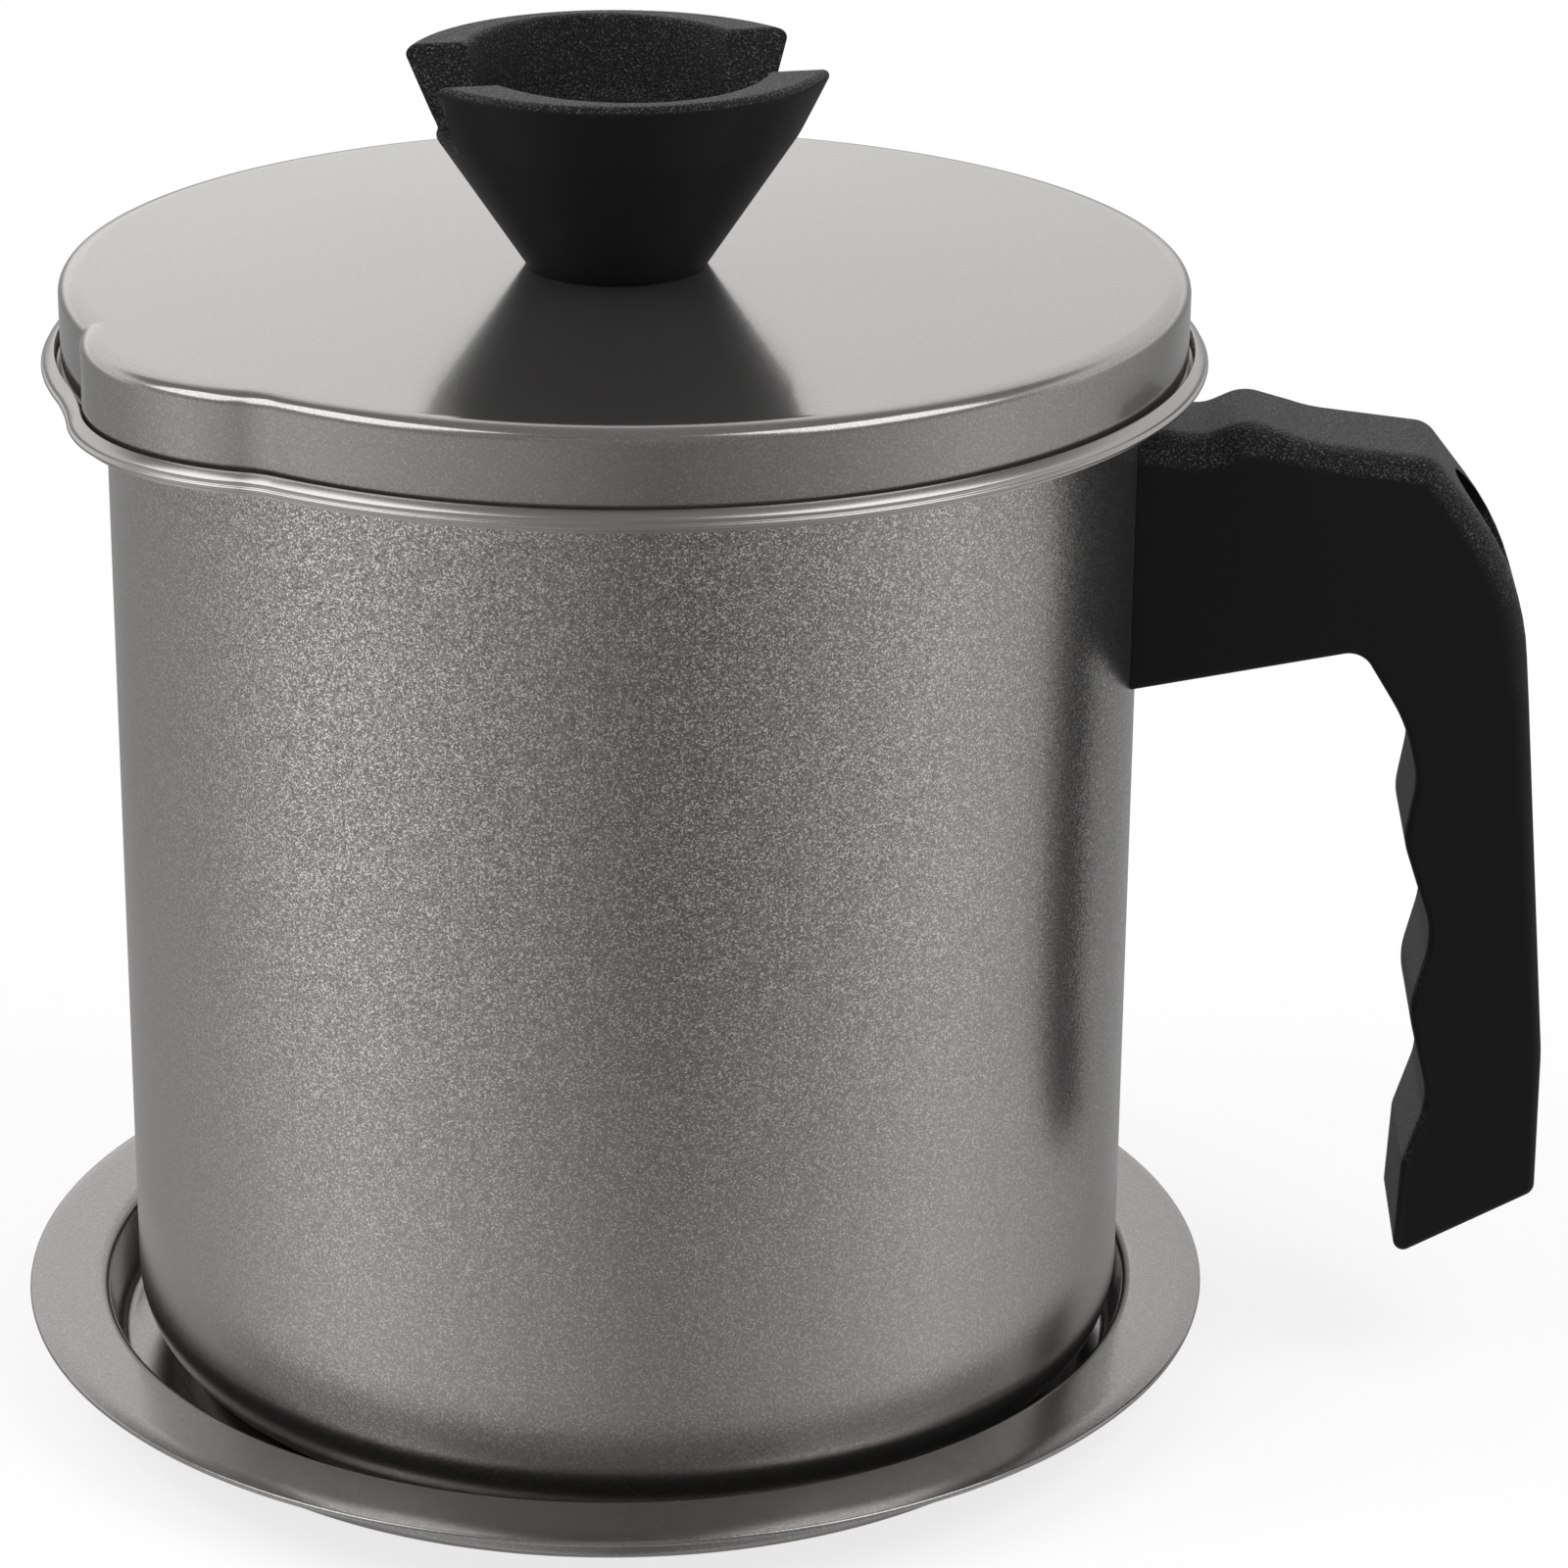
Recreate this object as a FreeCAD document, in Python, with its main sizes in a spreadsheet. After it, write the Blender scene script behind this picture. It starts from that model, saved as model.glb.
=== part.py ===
import FreeCAD, Part
import math
import os
import re

import Sketcher
from FreeCAD import Placement, Rotation, Vector

# Bacon grease container: tray, spouted pot with a moulded handle, lift-out strainer and lid with a knob.
# Millimetres. Z is up, the floor is z = 0, the origin is the centre of the tray's base, the handle is on +X.

DOC = FreeCAD.newDocument("grease_container")

SIZES = [
    # tray
    ("tray_sheet", 0.8, "sheet of the tray"),
    ("tray_radius", 72.0, "outside of the flange"),
    ("tray_height", 8.85, "floor to the top of the flange"),
    ("tray_foot_radius", 61.66, "outside wall carried down to the floor"),
    ("tray_wall_lean", 1.54, "how far the wall leans out over its height"),
    ("tray_edge_start", 69.4, "radius where the flange begins to turn down"),
    ("tray_edge_drop", 0.3, "how far the flange's edge turns down"),
    ("tray_corner", 1.5, "inside corner radius of the well"),
    # pot
    ("pot_offset", 1.4, "the pot stands off the tray's centre by this, towards the handle"),
    ("pot_radius", 60.0, "outside of the wall"),
    ("pot_sheet", 0.7, "sheet of the pot"),
    ("pot_corner", 10.7, "outside radius of the base corner"),
    ("seat_height", 124.25, "pot base to the top of the seat"),
    ("seat_corner", 2.2, "rounding from the seat down into the pot"),
    ("rim_radius", 67.15, "outside of the rim bead"),
    ("rim_width", 1.6, "from the outside of the bead to the inside of the lip"),
    ("lip_sheet", 0.45, "thickness of the lip"),
    ("lip_height", 1.75, "top of the seat to the top of the lip"),
    ("bead_height", 0.45, "top of the seat to the middle of the bead"),
    ("bead_half", 0.7, "half the height of the bead where it joins the lip"),
    ("spout_bearing", 222.9, "direction of the spout from +X"),
    ("spout_reach", 43.2, "pot axis to the centre of the spout's arc"),
    ("spout_radius", 28.05, "arc of the spout, at the outside of the bead"),
    ("spout_blend_a", 60.0, "blend on the side away from the handle"),
    ("spout_blend_b", 11.0, "blend on the side towards the handle"),
    # lid
    ("lid_radius", 64.9, "outside of the skirt"),
    ("lid_sheet", 0.7, "sheet of the lid"),
    ("lid_height", 10.05, "skirt's edge to the top"),
    ("shoulder_width", 2.0, "shoulder, measured inwards"),
    ("shoulder_drop", 0.5, "shoulder, measured down"),
    ("crown_round", 6.0, "rounding from the shoulder to the top"),
    ("skirt_round", 1.5, "rounding from the shoulder to the skirt"),
    ("bulge_bearing", 222.0, "direction of the skirt's bulge from +X"),
    ("bulge_reach", 43.0, "lid axis to the centre of the bulge's arc"),
    ("bulge_radius", 26.1, "arc of the bulge"),
    ("bulge_blend_a", 1.2, "blend on the side away from the handle"),
    ("bulge_blend_b", 13.0, "blend on the side towards the handle"),
    ("lid_hole_radius", 2.75, "hole for the knob's screw"),
    # knob
    ("knob_offset", -1.1, "the knob stands off the lid's centre by this, along X"),
    ("knob_foot_radius", 10.2, "cone at the lid"),
    ("knob_waist_radius", 21.1, "cone where it turns steeper"),
    ("knob_waist_height", 16.2, "height of that turn"),
    ("knob_waist_round", 12.0, "rounding of that turn"),
    ("knob_radius", 25.1, "cone at the top"),
    ("knob_height", 24.2, "height of the knob"),
    ("cup_across", 21.8, "half width of the cup's oval mouth, across the slot"),
    ("cup_along", 17.5, "half width of the mouth, along the slot"),
    ("cup_lean", 0.27, "how far the cup closes in for each millimetre down"),
    ("cup_floor", 14.6, "height of the cup's floor"),
    ("cup_corner", 2.5, "rounding of the cup's floor"),
    ("petal_edge", 0.9, "rounding of the petals' edges"),
    ("slot_floor", 15.3, "height of the slot's floor"),
    ("slot_floor_half", 7.0, "half width of the slot at its floor"),
    ("slot_top_half", 10.4, "half width of the slot at the top"),
    ("slot_bearing", 16.3, "direction of the slot from +X"),
    ("insert_radius", 4.5, "brass insert"),
    ("insert_length", 10.0, "brass insert"),
    # screws, both M5
    ("thread_bore", 2.5, "threaded bores, drawn plain"),
    ("shank_radius", 2.45, "screw shanks, drawn plain"),
    ("head_radius", 4.75, "pan head"),
    ("head_height", 3.2, "pan head"),
    ("washer_thick", 1.0, "flat washers"),
    ("washer_bore", 2.75, "flat washers"),
    ("knob_washer_radius", 7.5, "flat washer under the lid"),
    ("grip_washer_radius", 5.3, "flat washer in the grip"),
    ("spring_washer_thick", 1.2, "spring washers"),
    ("spring_washer_radius", 4.6, "spring washers"),
    ("spring_washer_bore", 2.6, "spring washers"),
    # grip
    ("grip_width", 19.5, "across the grip"),
    ("grip_reach", 109.8, "pot axis to the back of the grip"),
    ("grip_back", 105.6, "pot axis to the back under the bend"),
    ("grip_front", 93.2, "pot axis to the finger side"),
    ("scallop_depth", 3.0, "finger scallops"),
    ("scallop_pitch", 21.6, "from one finger ridge to the next"),
    ("grip_bottom", 14.7, "lowest point, above the pot's base"),
    ("grip_top", 118.3, "top of the arm beside the rim"),
    ("arm_under", 86.9, "underside of the arm at the pot"),
    ("grip_edge", 1.1, "rounding of the long edges"),
    ("screw_height", 105.75, "grip's screw above the pot's base"),
    ("well_radius", 5.75, "screw well in the back of the grip"),
    ("well_floor", 77.0, "pot axis to the floor of the well"),
    ("boss_radius", 6.5, "threaded boss on the pot"),
    ("boss_end", 68.0, "pot axis to the end of the boss"),
    # strainer
    ("strainer_flange_radius", 63.6, "flange that rests on the pot's seat"),
    ("strainer_radius", 58.4, "outside of the band"),
    ("strainer_sheet", 0.5, "sheet of the frame and clamp ring"),
    ("band_depth", 9.0, "band below the flange"),
    ("mesh_sheet", 0.4, "thickness of the woven cup"),
    ("mesh_depth", 16.0, "flange to the underside of the cup"),
    ("mesh_corner", 5.0, "corner of the cup"),
    ("mesh_hole", 1.6, "radius of the openings drawn in the cup"),
    ("mesh_ring_step", 8.0, "distance between rings of openings"),
    ("clamp_depth", 7.0, "depth of the clamp ring"),
    ("loop_half", 12.0, "half width of the lift loop"),
    ("loop_wire", 0.8, "radius of the loop's wire"),
    ("loop_rise", 4.5, "loop above the flange"),
    ("loop_plane", 54.75, "pot axis to the loop"),
    # small clearances between pieces that stay together
    ("press_gap", 0.02, "radial gap of pressed and clamped pieces"),
    ("fit_gap", 0.05, "gap of moulded pieces on metal ones"),
]

SHEET = DOC.addObject("Spreadsheet::Sheet", "Sheet")
NAMES = {name for name, value, note in SIZES}


def fill_sheet():
    for row, (name, value, note) in enumerate(SIZES, 1):
        SHEET.set("A%d" % row, name)
        SHEET.set("B%d" % row, repr(value))
        SHEET.set("C%d" % row, note)
        SHEET.setAlias("B%d" % row, name)
    DOC.recompute()


def bound(text):
    """The expression with every size name pointed at the sheet."""
    return re.sub(r"[a-z_]+", lambda m: "Sheet." + m[0] if m[0] in NAMES else m[0], str(text))


def value(text):
    return float(SHEET.evalExpression(bound(text)))


def new_body(name, x="pot_offset", z="0", turn="0"):
    """An empty body at (x, 0, z), turned about Z."""
    body = DOC.addObject("PartDesign::Body", name)
    body.Label = name
    body.setExpression("Placement.Base.x", bound(x))
    body.setExpression("Placement.Base.z", bound(z))
    body.setExpression("Placement.Rotation.Angle", bound(turn))
    return body


def new_sketch(body, name, plane, shift=("0", "0", "0"), turn=None):
    """A sketch on an origin plane of the body, moved by shift and turned about the body's Z axis."""
    sketch = body.newObject("Sketcher::SketchObject", name)
    origin = [o for o in body.Origin.OriginFeatures if o.Role == plane][0]
    sketch.AttachmentSupport = [(origin, "")]
    sketch.MapMode = "FlatFace"
    if turn:
        upright = Vector(0, 0, 1) if plane == "XY_Plane" else Vector(0, 1, 0)
        sketch.AttachmentOffset = Placement(Vector(), Rotation(upright, value(turn)))
        sketch.setExpression("AttachmentOffset.Rotation.Angle", bound(turn))
    for axis, text in zip("xyz", shift):
        if text != "0":
            sketch.setExpression("AttachmentOffset.Base." + axis, bound(text))
    DOC.recompute()
    return sketch


def fix_point(sketch, geo, pos, across, up):
    """Hold a point at (across, up) from the sketch's origin, by expressions."""
    for kind, text, axis in (("DistanceX", across, -2), ("DistanceY", up, -1)):
        number = value(text)
        if abs(number) < 1e-9:
            sketch.addConstraint(Sketcher.Constraint("PointOnObject", geo, pos, axis))
        else:
            row = sketch.addConstraint(Sketcher.Constraint(kind, -1, 1, geo, pos, number))
            sketch.setExpression("Constraints[%d]" % row, bound(text))


def outline(sketch, corners, closed=True):
    """Straight lines through the corners, each (across, up) or (across, up, radius) as expressions."""
    points = [Vector(value(c[0]), value(c[1]), 0) for c in corners]
    radii = [value(c[2]) if len(c) > 2 else 0.0 for c in corners]
    count = len(points)
    starts = list(points)
    ends = list(points)
    arcs = {}
    for i, radius in enumerate(radii):
        if radius:
            back = (points[i - 1] - points[i]).normalize()
            ahead = (points[(i + 1) % count] - points[i]).normalize()
            half = back.getAngle(ahead) / 2
            ends[i] = points[i] + back * (radius / math.tan(half))
            starts[i] = points[i] + ahead * (radius / math.tan(half))
            middle = points[i] + (back + ahead).normalize() * (radius / math.sin(half))
            arcs[i] = (middle, back.cross(ahead).z < 0)
    last = count if closed else count - 1
    lines = [sketch.addGeometry(Part.LineSegment(starts[i], ends[(i + 1) % count])) for i in range(last)]
    for i in range(count):
        after = lines[i] if i < last else None
        before = lines[i - 1] if closed or i else None
        if i in arcs:
            middle, left = arcs[i]
            first, second = (ends[i], starts[i]) if left else (starts[i], ends[i])
            a = math.atan2(first.y - middle.y, first.x - middle.x)
            b = math.atan2(second.y - middle.y, second.x - middle.x)
            circle = Part.Circle(middle, Vector(0, 0, 1), radii[i])
            arc = sketch.addGeometry(Part.ArcOfCircle(circle, a, b if b > a else b + 2 * math.pi))
            corner = sketch.addGeometry(Part.Point(points[i]), True)
            sketch.addConstraint(Sketcher.Constraint("Tangent", before, 2, arc, 1 if left else 2))
            sketch.addConstraint(Sketcher.Constraint("Tangent", after, 1, arc, 2 if left else 1))
            row = sketch.addConstraint(Sketcher.Constraint("Radius", arc, radii[i]))
            sketch.setExpression("Constraints[%d]" % row, bound(corners[i][2]))
            sketch.addConstraint(Sketcher.Constraint("PointOnObject", corner, 1, before))
            sketch.addConstraint(Sketcher.Constraint("PointOnObject", corner, 1, after))
            fix_point(sketch, corner, 1, corners[i][0], corners[i][1])
        elif after is None:
            fix_point(sketch, before, 2, corners[i][0], corners[i][1])
        else:
            if before is not None:
                sketch.addConstraint(Sketcher.Constraint("Coincident", before, 2, after, 1))
            fix_point(sketch, after, 1, corners[i][0], corners[i][1])
    DOC.recompute()
    return sketch


def ring(sketch, across, up, radius):
    """One circle in the sketch."""
    circle = Part.Circle(Vector(value(across), value(up), 0), Vector(0, 0, 1), value(radius))
    geo = sketch.addGeometry(circle)
    fix_point(sketch, geo, 3, across, up)
    row = sketch.addConstraint(Sketcher.Constraint("Radius", geo, value(radius)))
    sketch.setExpression("Constraints[%d]" % row, bound(radius))
    DOC.recompute()
    return sketch


def oval(sketch, half_across, half_up):
    """One ellipse about the sketch's origin, longer up than across."""
    ellipse = Part.Ellipse(Vector(0, value(half_up), 0), Vector(value(half_across), 0, 0), Vector())
    geo = sketch.addGeometry(ellipse)
    sketch.exposeInternalGeometry(geo)
    sketch.addConstraint(Sketcher.Constraint("Coincident", geo, 3, -1, 1))
    sketch.addConstraint(Sketcher.Constraint("Vertical", geo + 1))
    for line, half in ((geo + 1, half_up), (geo + 2, half_across)):
        row = sketch.addConstraint(Sketcher.Constraint("Distance", line, 2 * value(half)))
        sketch.setExpression("Constraints[%d]" % row, bound("2 * (%s)" % half))
    DOC.recompute()
    return sketch


def spout_outline(sketch, inset, base="rim_radius", kind="spout"):
    """A circle about the axis, a smaller one for the spout or bulge and two blends, all moved inwards."""
    bearing = math.radians(value(kind + "_bearing"))
    main = "%s - (%s)" % (base, inset)
    small = "%s_radius - (%s)" % (kind, inset)
    soft = ["%s_blend_a + (%s)" % (kind, inset), "%s_blend_b + (%s)" % (kind, inset)]
    rim = value(main)
    spout = value(small)
    reach = value(kind + "_reach")
    centre = Vector(math.cos(bearing), math.sin(bearing), 0) * reach
    axis = Vector(0, 0, 1)
    touch_rim = []
    touch_spout = []
    blends = []
    for side, name in zip((-1, 1), soft):
        blend = value(name)
        far = rim + blend
        near = spout + blend
        swing = math.acos((far**2 + reach**2 - near**2) / (2 * far * reach))
        angle = bearing + side * swing
        middle = Vector(math.cos(angle), math.sin(angle), 0) * far
        touch_rim.append(middle * (rim / far))
        touch_spout.append(centre + (middle - centre) * (spout / near))
        blends.append((middle, blend))

    def arc(middle, radius, start, end):
        a = math.atan2(start.y - middle.y, start.x - middle.x)
        b = math.atan2(end.y - middle.y, end.x - middle.x)
        b = b if b > a else b + 2 * math.pi
        return sketch.addGeometry(Part.ArcOfCircle(Part.Circle(middle, axis, radius), a, b))

    origin = Vector()
    main_a = arc(origin, rim, Vector(rim, 0, 0), touch_rim[0])
    blend_a = arc(blends[0][0], blends[0][1], touch_spout[0], touch_rim[0])
    bulge = arc(centre, spout, touch_spout[0], touch_spout[1])
    blend_b = arc(blends[1][0], blends[1][1], touch_rim[1], touch_spout[1])
    main_b = arc(origin, rim, touch_rim[1], Vector(rim, 0, 0))
    for geo in (main_a, main_b):
        sketch.addConstraint(Sketcher.Constraint("Coincident", geo, 3, -1, 1))
    sketch.addConstraint(Sketcher.Constraint("Tangent", main_b, 2, main_a, 1))
    sketch.addConstraint(Sketcher.Constraint("PointOnObject", main_a, 1, -1))
    sketch.addConstraint(Sketcher.Constraint("Tangent", main_a, 2, blend_a, 2))
    sketch.addConstraint(Sketcher.Constraint("Tangent", blend_a, 1, bulge, 1))
    sketch.addConstraint(Sketcher.Constraint("Tangent", bulge, 2, blend_b, 2))
    sketch.addConstraint(Sketcher.Constraint("Tangent", blend_b, 1, main_b, 1))
    across = "%s_reach * cos(%s_bearing)" % (kind, kind)
    up = "%s_reach * sin(%s_bearing)" % (kind, kind)
    fix_point(sketch, bulge, 3, across, up)
    for geo, radius in ((main_a, main), (bulge, small), (blend_a, soft[0]), (blend_b, soft[1])):
        row = sketch.addConstraint(Sketcher.Constraint("Radius", geo, value(radius)))
        sketch.setExpression("Constraints[%d]" % row, bound(radius))
    DOC.recompute()
    return sketch


def turned(body, name, corners, cut=False, plane="XZ_Plane", shift=("0", "0", "0"), axis="V_Axis"):
    """Turn a profile of (radius, height) about the sketch's axis."""
    sketch = outline(new_sketch(body, name + "_profile", plane, shift), corners)
    kind = "PartDesign::Groove" if cut else "PartDesign::Revolution"
    feature = body.newObject(kind, name)
    feature.Profile = sketch
    feature.ReferenceAxis = (sketch, [axis])
    feature.Angle = 360
    DOC.recompute()
    return feature


def raised(body, name, sketch, length, both=False):
    """Pad the sketch upwards, or to both sides."""
    feature = body.newObject("PartDesign::Pad", name)
    feature.Profile = sketch
    feature.setExpression("Length", bound(length))
    if both:
        feature.SideType = "Symmetric"
    DOC.recompute()
    return feature


def cut_through(body, name, sketch, length=None, both=True, back=False):
    """Pocket the sketch, to both sides unless told otherwise."""
    feature = body.newObject("PartDesign::Pocket", name)
    feature.Profile = sketch
    if length:
        feature.setExpression("Length", bound(length))
    else:
        feature.Type = "ThroughAll"
    if both:
        feature.SideType = "Symmetric"
    feature.Reversed = back
    DOC.recompute()
    return feature


def edges_where(shape, test):
    """Names of the shape's edges for which test(edge) holds."""
    return ["Edge%d" % i for i, edge in enumerate(shape.Edges, 1) if test(edge)]


def rounded(body, name, base, edges, radius):
    """Fillet the named edges."""
    feature = body.newObject("PartDesign::Fillet", name)
    feature.Base = (base, edges)
    feature.setExpression("Radius", bound(radius))
    DOC.recompute()
    return feature


def make_tray():
    body = new_body("tray", x="0")
    lean = "tray_wall_lean"
    turned(body, "sheet", [
        ("0", "0"),
        ("tray_foot_radius", "0", "tray_corner + tray_sheet"),
        ("tray_foot_radius + %s" % lean, "tray_height - tray_sheet", "tray_corner - tray_sheet"),
        ("tray_edge_start", "tray_height - tray_sheet"),
        ("tray_radius", "tray_height - tray_sheet - tray_edge_drop / 2", "0.25"),
        ("tray_radius", "tray_height - tray_edge_drop", "0.25"),
        ("tray_edge_start", "tray_height", "2"),
        ("tray_foot_radius + %s - tray_sheet + 0.14" % lean, "tray_height", "tray_corner"),
        ("tray_foot_radius - tray_sheet + 0.14", "tray_sheet", "tray_corner"),
        ("0", "tray_sheet"),
    ])
    return body


def make_pot():
    body = new_body("pot_body", z="tray_sheet")
    seat_under = "seat_height - pot_sheet"
    turned(body, "wall", [
        ("0", "0"),
        ("pot_radius", "0", "pot_corner"),
        ("pot_radius", seat_under),
        ("pot_radius + 2", seat_under),
        ("pot_radius + 2", "seat_height"),
        ("pot_radius - pot_sheet", "seat_height", "seat_corner"),
        ("pot_radius - pot_sheet", "pot_sheet", "pot_corner - pot_sheet"),
        ("0", "pot_sheet"),
    ])
    seat = new_sketch(body, "seat_outline", "XY_Plane", ("0", "0", seat_under))
    spout_outline(seat, "rim_width - lip_sheet / 2")
    ring(seat, "0", "0", "pot_radius + 1")
    raised(body, "seat", seat, "pot_sheet")
    spine = spout_outline(new_sketch(body, "rim_path", "XY_Plane", ("0", "0", "seat_height")), "0")
    section = new_sketch(body, "rim_section", "XZ_Plane")
    rim_section(section)
    rim = body.newObject("PartDesign::AdditivePipe", "rim")
    rim.Profile = section
    rim.Spine = (spine, [])
    rim.Mode = "Frenet"
    DOC.recompute()
    return body


def rim_section(sketch):
    """Upright lip with a rounded bead outside it, closed by one arc."""
    inner = "rim_radius - rim_width"
    outer = "rim_radius - rim_width + lip_sheet"
    low = "seat_height + bead_height - bead_half"
    high = "seat_height + bead_height + bead_half"
    path = [
        (inner, "seat_height - pot_sheet"),
        (outer, "seat_height - pot_sheet"),
        (outer, low),
        (outer, high),
        (outer, "seat_height + lip_height - 0.1"),
        ("%s - 0.1" % outer, "seat_height + lip_height"),
        (inner, "seat_height + lip_height"),
    ]
    points = [Vector(value(a), value(b), 0) for a, b in path]
    tip = Vector(value("rim_radius"), value("seat_height + bead_height"), 0)
    count = len(points)
    geos = []
    for i in range(count):
        if i == 2:
            geos.append(sketch.addGeometry(Part.Arc(points[2], tip, points[3])))
        else:
            geos.append(sketch.addGeometry(Part.LineSegment(points[i], points[(i + 1) % count])))
    for i in range(count):
        before = geos[i - 1]
        sketch.addConstraint(Sketcher.Constraint("Coincident", before, 2, geos[i], 1))
        fix_point(sketch, geos[i], 1, path[i][0], path[i][1])
    reach = "rim_width - lip_sheet"
    radius = "(bead_half * bead_half + (%s) * (%s)) / (2 * (%s))" % (reach, reach, reach)
    row = sketch.addConstraint(Sketcher.Constraint("Radius", geos[2], value(radius)))
    sketch.setExpression("Constraints[%d]" % row, bound(radius))
    DOC.recompute()
    return sketch


def make_lid():
    body = new_body("lid_shell", z="tray_sheet + seat_height")
    sketch = spout_outline(new_sketch(body, "skirt_outline", "XY_Plane"), "0", "lid_radius", "bulge")
    base = raised(body, "block", sketch, "lid_height")
    top = value("lid_height")
    shoulder = body.newObject("PartDesign::Chamfer", "shoulder")
    shoulder.Base = (base, edges_where(base.Shape, lambda e: e.BoundBox.ZMin > top - 0.01))
    shoulder.ChamferType = "Two distances"
    shoulder.setExpression("Size", bound("shoulder_drop"))
    shoulder.setExpression("Size2", bound("shoulder_width"))
    DOC.recompute()
    upper = edges_where(shoulder.Shape, lambda e: e.BoundBox.ZMin > top - 0.01)
    soft = rounded(body, "crown_edge", shoulder, upper, "crown_round")
    low = value("lid_height - shoulder_drop")
    lower = edges_where(soft.Shape, lambda e: abs(e.BoundBox.ZMin - low) < 0.01 and e.BoundBox.ZLength < 0.01)
    soft = rounded(body, "skirt_edge", soft, lower, "skirt_round")
    hollow = body.newObject("PartDesign::Thickness", "hollow")
    floor = [i for i, f in enumerate(soft.Shape.Faces, 1) if f.BoundBox.ZMax < 0.01]
    hollow.Base = (soft, ["Face%d" % i for i in floor])
    hollow.setExpression("Value", bound("lid_sheet"))
    hollow.Reversed = True
    DOC.recompute()
    hole = ring(new_sketch(body, "screw_hole", "XY_Plane"), "knob_offset", "0", "lid_hole_radius")
    cut_through(body, "hole", hole)
    return body


def cup_section(body, name, level):
    """The cup's oval at one height."""
    narrower = "cup_lean * (knob_height - (%s))" % level
    sketch = new_sketch(body, name, "XY_Plane", ("0", "0", level), turn="slot_bearing")
    return oval(sketch, "cup_along - " + narrower, "cup_across - " + narrower)


def make_knob():
    body = new_body("lid_knob", x=KNOB_AXIS, z=LID_TOP)
    turned(body, "cone", [
        ("0", "0"),
        ("knob_foot_radius", "0", "0.8"),
        ("knob_waist_radius", "knob_waist_height", "knob_waist_round"),
        ("knob_radius", "knob_height"),
        ("0", "knob_height"),
    ])
    bore = ring(new_sketch(body, "insert_hole", "XY_Plane"), "0", "0", "insert_radius + press_gap")
    cut_through(body, "insert_bore", bore, "insert_length + 0.5", both=False, back=True)
    floor = cup_section(body, "bottom", "cup_floor")
    mouth = cup_section(body, "mouth", "knob_height + 1")
    cup = body.newObject("PartDesign::SubtractiveLoft", "cup")
    cup.Profile = floor
    cup.Sections = [mouth]
    cup.Ruled = True
    DOC.recompute()
    level = value("cup_floor")
    low = edges_where(cup.Shape, lambda e: abs(e.BoundBox.ZMin - level) < 0.01 and e.BoundBox.ZLength < 0.01)
    rounded(body, "cup_edge", cup, low, "cup_corner")
    lean = "(slot_top_half - slot_floor_half) / (knob_height - slot_floor)"
    slot = outline(new_sketch(body, "slot_profile", "YZ_Plane", turn="slot_bearing"), [
        ("-slot_floor_half", "slot_floor", "1.5"),
        ("slot_floor_half", "slot_floor", "1.5"),
        ("slot_top_half + 2 * %s" % lean, "knob_height + 2"),
        ("-slot_top_half - 2 * %s" % lean, "knob_height + 2"),
    ])
    cut = cut_through(body, "slot", slot)
    top = value("knob_height")
    petals = edges_where(cut.Shape, lambda e: e.BoundBox.ZMin > top - 0.01)
    rounded(body, "petal_edges", cut, petals, "petal_edge")
    return body


def make_disc(name, x, z, outer, inner, thick, split=None, lying=False):
    """A washer; a spring washer has a slit. Lying ones have their axis along X."""
    body = new_body(name, x=x, z=z)
    plane = "YZ_Plane" if lying else "XY_Plane"
    sketch = ring(new_sketch(body, "face", plane), "0", "0", outer)
    ring(sketch, "0", "0", inner)
    raised(body, "disc", sketch, thick)
    if split:
        slit = outline(new_sketch(body, "slit_profile", plane), [
            ("0", "-" + split),
            (outer + " + 1", "-" + split),
            (outer + " + 1", split),
            ("0", split),
        ])
        cut_through(body, "slit", slit)
    return body


def make_screw(name, x, z, length, lying=False):
    """Pan head screw with its seat at (x, z); the shank points up, or towards -X when lying."""
    body = new_body(name, x=x, z=z)
    side = [
        ("0", "head_height"),
        ("head_radius", "head_height", "1.6"),
        ("head_radius", "0"),
        ("shank_radius", "0"),
        ("shank_radius", "0.6 - (%s)" % length),
        ("shank_radius - 0.6", "-(%s)" % length),
        ("0", "-(%s)" % length),
    ]
    if lying:
        turned(body, "screw", [(c[1], c[0]) + c[2:] for c in side], axis="H_Axis")
    else:
        turned(body, "screw", [(c[0], "-(%s)" % c[1]) + c[2:] for c in side])
    plane, top = ("YZ_Plane", "head_height") if lying else ("XY_Plane", "-head_height")
    socket = outline(new_sketch(body, "socket_profile", plane, ("0", "0", top)), [
        ("head_radius * 0.37 * cos(%d)" % angle, "head_radius * 0.37 * sin(%d)" % angle)
        for angle in range(10, 370, 60)])
    cut_through(body, "socket", socket, "head_height * 0.55", both=False, back=not lying)
    return body


def make_strainer_frame():
    body = new_body("strainer_frame", z="tray_sheet + seat_height")
    inner = "strainer_radius - strainer_sheet"
    turned(body, "frame", [
        (inner, "-band_depth"),
        ("strainer_radius", "-band_depth"),
        ("strainer_radius", "0", "1.2"),
        ("strainer_flange_radius", "0"),
        ("strainer_flange_radius", "strainer_sheet"),
        (inner, "strainer_sheet", "1.2 + strainer_sheet"),
    ])
    return body


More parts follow.
